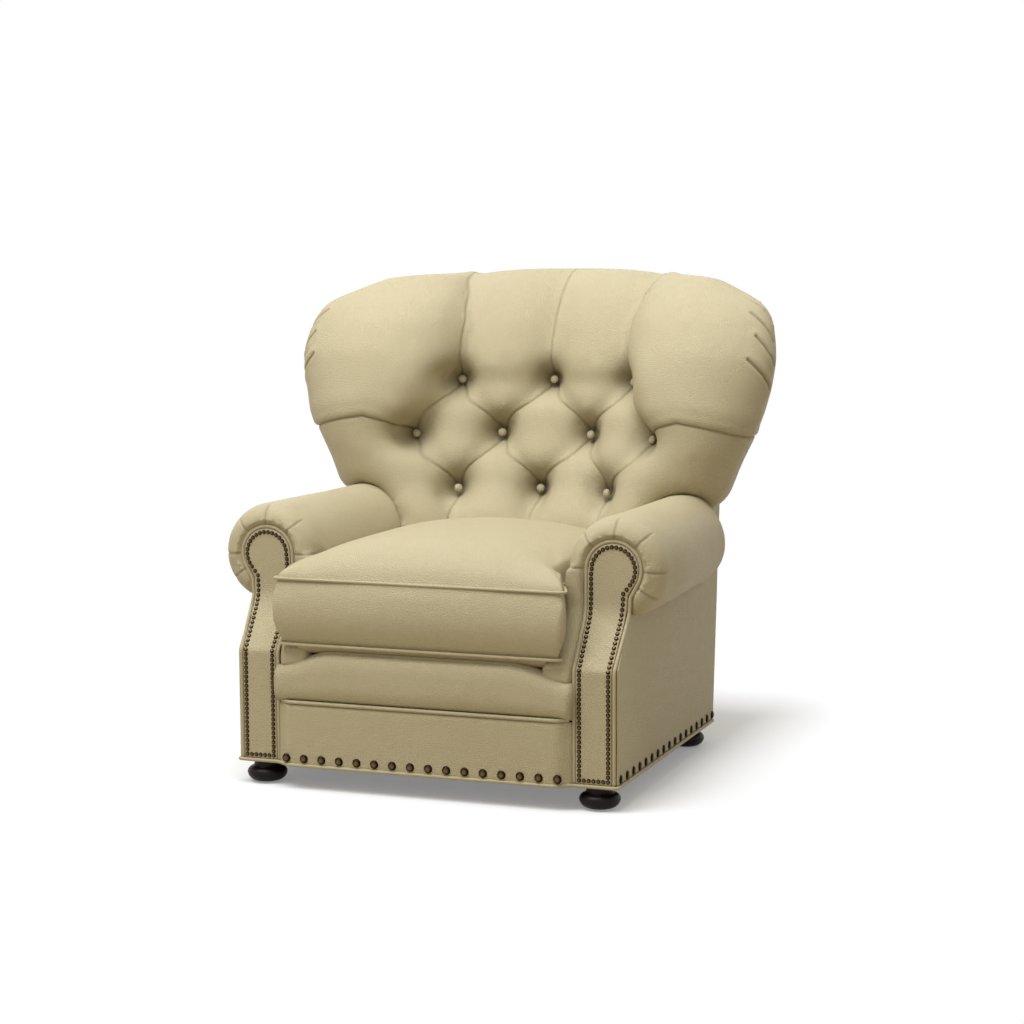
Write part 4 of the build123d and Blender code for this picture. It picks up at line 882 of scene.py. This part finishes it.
def nail_heads(source):
    """A dome for every nail of a CAD node, on the flat ring under the nail's head."""
    nails = cad_form([source])
    form = bmesh.new()
    layer = form.verts.layers.float.new("crown")
    for faces in islands(nails):
        ring = max(faces, key=lambda face: face.calc_area())
        axis = -ring.normal.normalized()
        corners = [vert.co for vert in {vert for face in faces for vert in face.verts}]
        middle = sum(corners, Vector()) / len(corners)
        centre = middle + axis * (ring.verts[0].co - middle).dot(axis)
        radius = max(((co - centre) - axis * (co - centre).dot(axis)).length for co in corners)
        place = Matrix.Translation(centre) @ axis.to_track_quat("Z", "Y").to_matrix().to_4x4()
        place = place @ Matrix.Diagonal((1.0, 1.0, NAIL_RISE, 1.0))
        dome = bmesh.ops.create_uvsphere(form, u_segments=12, v_segments=6, radius=radius, matrix=place)
        for vert in dome["verts"]:
            vert[layer] = max(0.0, (vert.co - centre).dot(axis) / (NAIL_RISE * radius))
    nails.free()
    bmesh.ops.recalc_face_normals(form, faces=form.faces)
    heads = add_object(source.replace("nails", "nail_heads"), to_mesh(form, source), NAIL)
    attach(heads, "chair")
    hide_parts(source)


for name in nodes:
    if name.endswith("nails"):
        nail_heads(name)


# Hard pieces kept from the CAD model
SPRING_SHARE, SHARP_ANGLE = 0.2, 38


def keep_node(name, material):
    """Shades a CAD node smooth up to its sharp edges, and thins the heavy mesh of the springs."""
    piece = nodes[name]
    dress(piece.data, material)
    shade_smooth(piece.data)
    weld = piece.modifiers.new("weld", "WELD")
    weld.merge_threshold = JOIN_GAP
    if name == "seat_springs":
        thin = piece.modifiers.new("thin", "DECIMATE")
        thin.ratio = SPRING_SHARE
    split = piece.modifiers.new("edges", "EDGE_SPLIT")
    split.split_angle = math.radians(SHARP_ANGLE)
    split.use_edge_sharp = False


# The first word found in a node's name gives its finish; the rest, which soft pieces replace, is plain hide
FINISH = {"nails": NAIL, "foot_glides": GLIDE, "bolts": STEEL, "springs": STEEL, "clips": STEEL,
          "_foot": FOOT, "dust_cover": DUST, "webbing": DUST, "zip": ZIP, "core": FOAM, "rail": FRAME,
          "stump": FRAME, "post": FRAME, "blocks": FRAME}
for name in nodes:
    for word, material in FINISH.items():
        if word in name:
            keep_node(name, material)
            break
    else:
        dress(nodes[name].data, HIDE)

# Studio: pale floor, white surround and soft light from the upper left
SEEN_RAYS = ("Is Camera Ray", "Is Glossy Ray", "Is Transmission Ray")
# The floor shows shadow only near the chair: the footprint's half sizes, the reach round it, the least glow
FOOTPRINT, SHADOW_REACH, SHADOW_EDGE, LEAST_GLOW = (0.41, 0.50), (0.19, 0.32), 0.06, 0.22
FLOOR_HALF = 30.0
floor_form = bmesh.new()
bmesh.ops.create_grid(floor_form, x_segments=2, y_segments=2, size=FLOOR_HALF)
floor_graph = Graph("studio floor")
floor_material = floor_graph.surface(Base_Color=rgba(0.95, 0.95, 0.95), Roughness=0.9,
                                     Specular_IOR_Level=0.0)
across = floor_graph.node("ShaderNodeSeparateXYZ", {0: floor_graph.place}, out="X")
along = floor_graph.node("ShaderNodeSeparateXYZ", {0: floor_graph.place}, out="Y")
beside = (abs(across) - FOOTPRINT[0]).clamp()
before = (abs(along) - FOOTPRINT[1]).clamp()
aside, ahead = beside / SHADOW_REACH[0], before / SHADOW_REACH[1]
far = ((aside * aside + ahead * ahead) ** 0.5 - SHADOW_EDGE).clamp()
rays = [floor_graph.node("ShaderNodeLightPath", out=kind) for kind in SEEN_RAYS]
seen = (rays[0] + rays[1] + rays[2]).clamp()
glow = floor_graph.node("ShaderNodeEmission", {"Color": rgba(1.0, 1.0, 1.0), "Strength": 1.0})
dull = floor_graph.node("ShaderNodeBsdfDiffuse", {"Color": rgba(0.50, 0.44, 0.32)})
lit = Value(floor_graph, floor_graph.shader.outputs[0])
paper = floor_graph.node("ShaderNodeMixShader", {0: LEAST_GLOW + far * (1.0 - LEAST_GLOW), 1: lit, 2: glow})
surface = floor_graph.node("ShaderNodeMixShader", {0: seen, 1: dull, 2: paper})
floor_graph.put(floor_graph.tree.nodes["Material Output"].inputs["Surface"], surface)
floor = add_object("floor", to_mesh(floor_form, "floor"), floor_material)

world = bpy.data.worlds.new("studio")
bpy.context.scene.world = world
world.use_nodes = True
sky = world.node_tree
ambient = sky.nodes["Background"]
ambient.inputs["Color"].default_value = (1.0, 0.955, 0.86, 1.0)
ambient.inputs["Strength"].default_value = 0.47
backdrop = sky.nodes.new("ShaderNodeBackground")
backdrop.inputs["Color"].default_value = (1.0, 1.0, 1.0, 1.0)
ray = sky.nodes.new("ShaderNodeLightPath")
choice = sky.nodes.new("ShaderNodeMixShader")
seen_share = ray.outputs[SEEN_RAYS[0]]
for kind in SEEN_RAYS[1:]:
    either = sky.nodes.new("ShaderNodeMath")
    either.operation = "MAXIMUM"
    sky.links.new(seen_share, either.inputs[0])
    sky.links.new(ray.outputs[kind], either.inputs[1])
    seen_share = either.outputs[0]
sky.links.new(seen_share, choice.inputs[0])
sky.links.new(ambient.outputs[0], choice.inputs[1])
sky.links.new(backdrop.outputs[0], choice.inputs[2])
sky.links.new(choice.outputs[0], sky.nodes["World Output"].inputs["Surface"])


def area_light(name, place, aim, size, power):
    lamp = bpy.data.lights.new(name, "AREA")
    lamp.shape = "DISK"
    lamp.size = size
    lamp.energy = power
    lamp.color = (0.95, 0.98, 1.0)
    holder = bpy.data.objects.new(name, lamp)
    bpy.context.scene.collection.objects.link(holder)
    holder.location = place
    holder.rotation_euler = (Vector(aim) - Vector(place)).to_track_quat("-Z", "Y").to_euler()


area_light("key", (-1.5, -2.2, 4.0), (0.0, 0.0, 0.5), 2.4, 95.0)
area_light("top", (0.0, -0.7, 3.9), (0.0, 0.0, 0.4), 2.6, 98.0)

lens = bpy.data.cameras.new("camera")
lens.lens = 81.1
lens.sensor_width = 36.0
camera = bpy.data.objects.new("camera", lens)
bpy.context.scene.collection.objects.link(camera)
camera.location = (1.7220, -4.7460, 1.0799)
camera.rotation_euler = (math.radians(83.73), 0.0, math.radians(19.912))
bpy.context.scene.camera = camera
bpy.context.scene.view_settings.view_transform = "Standard"
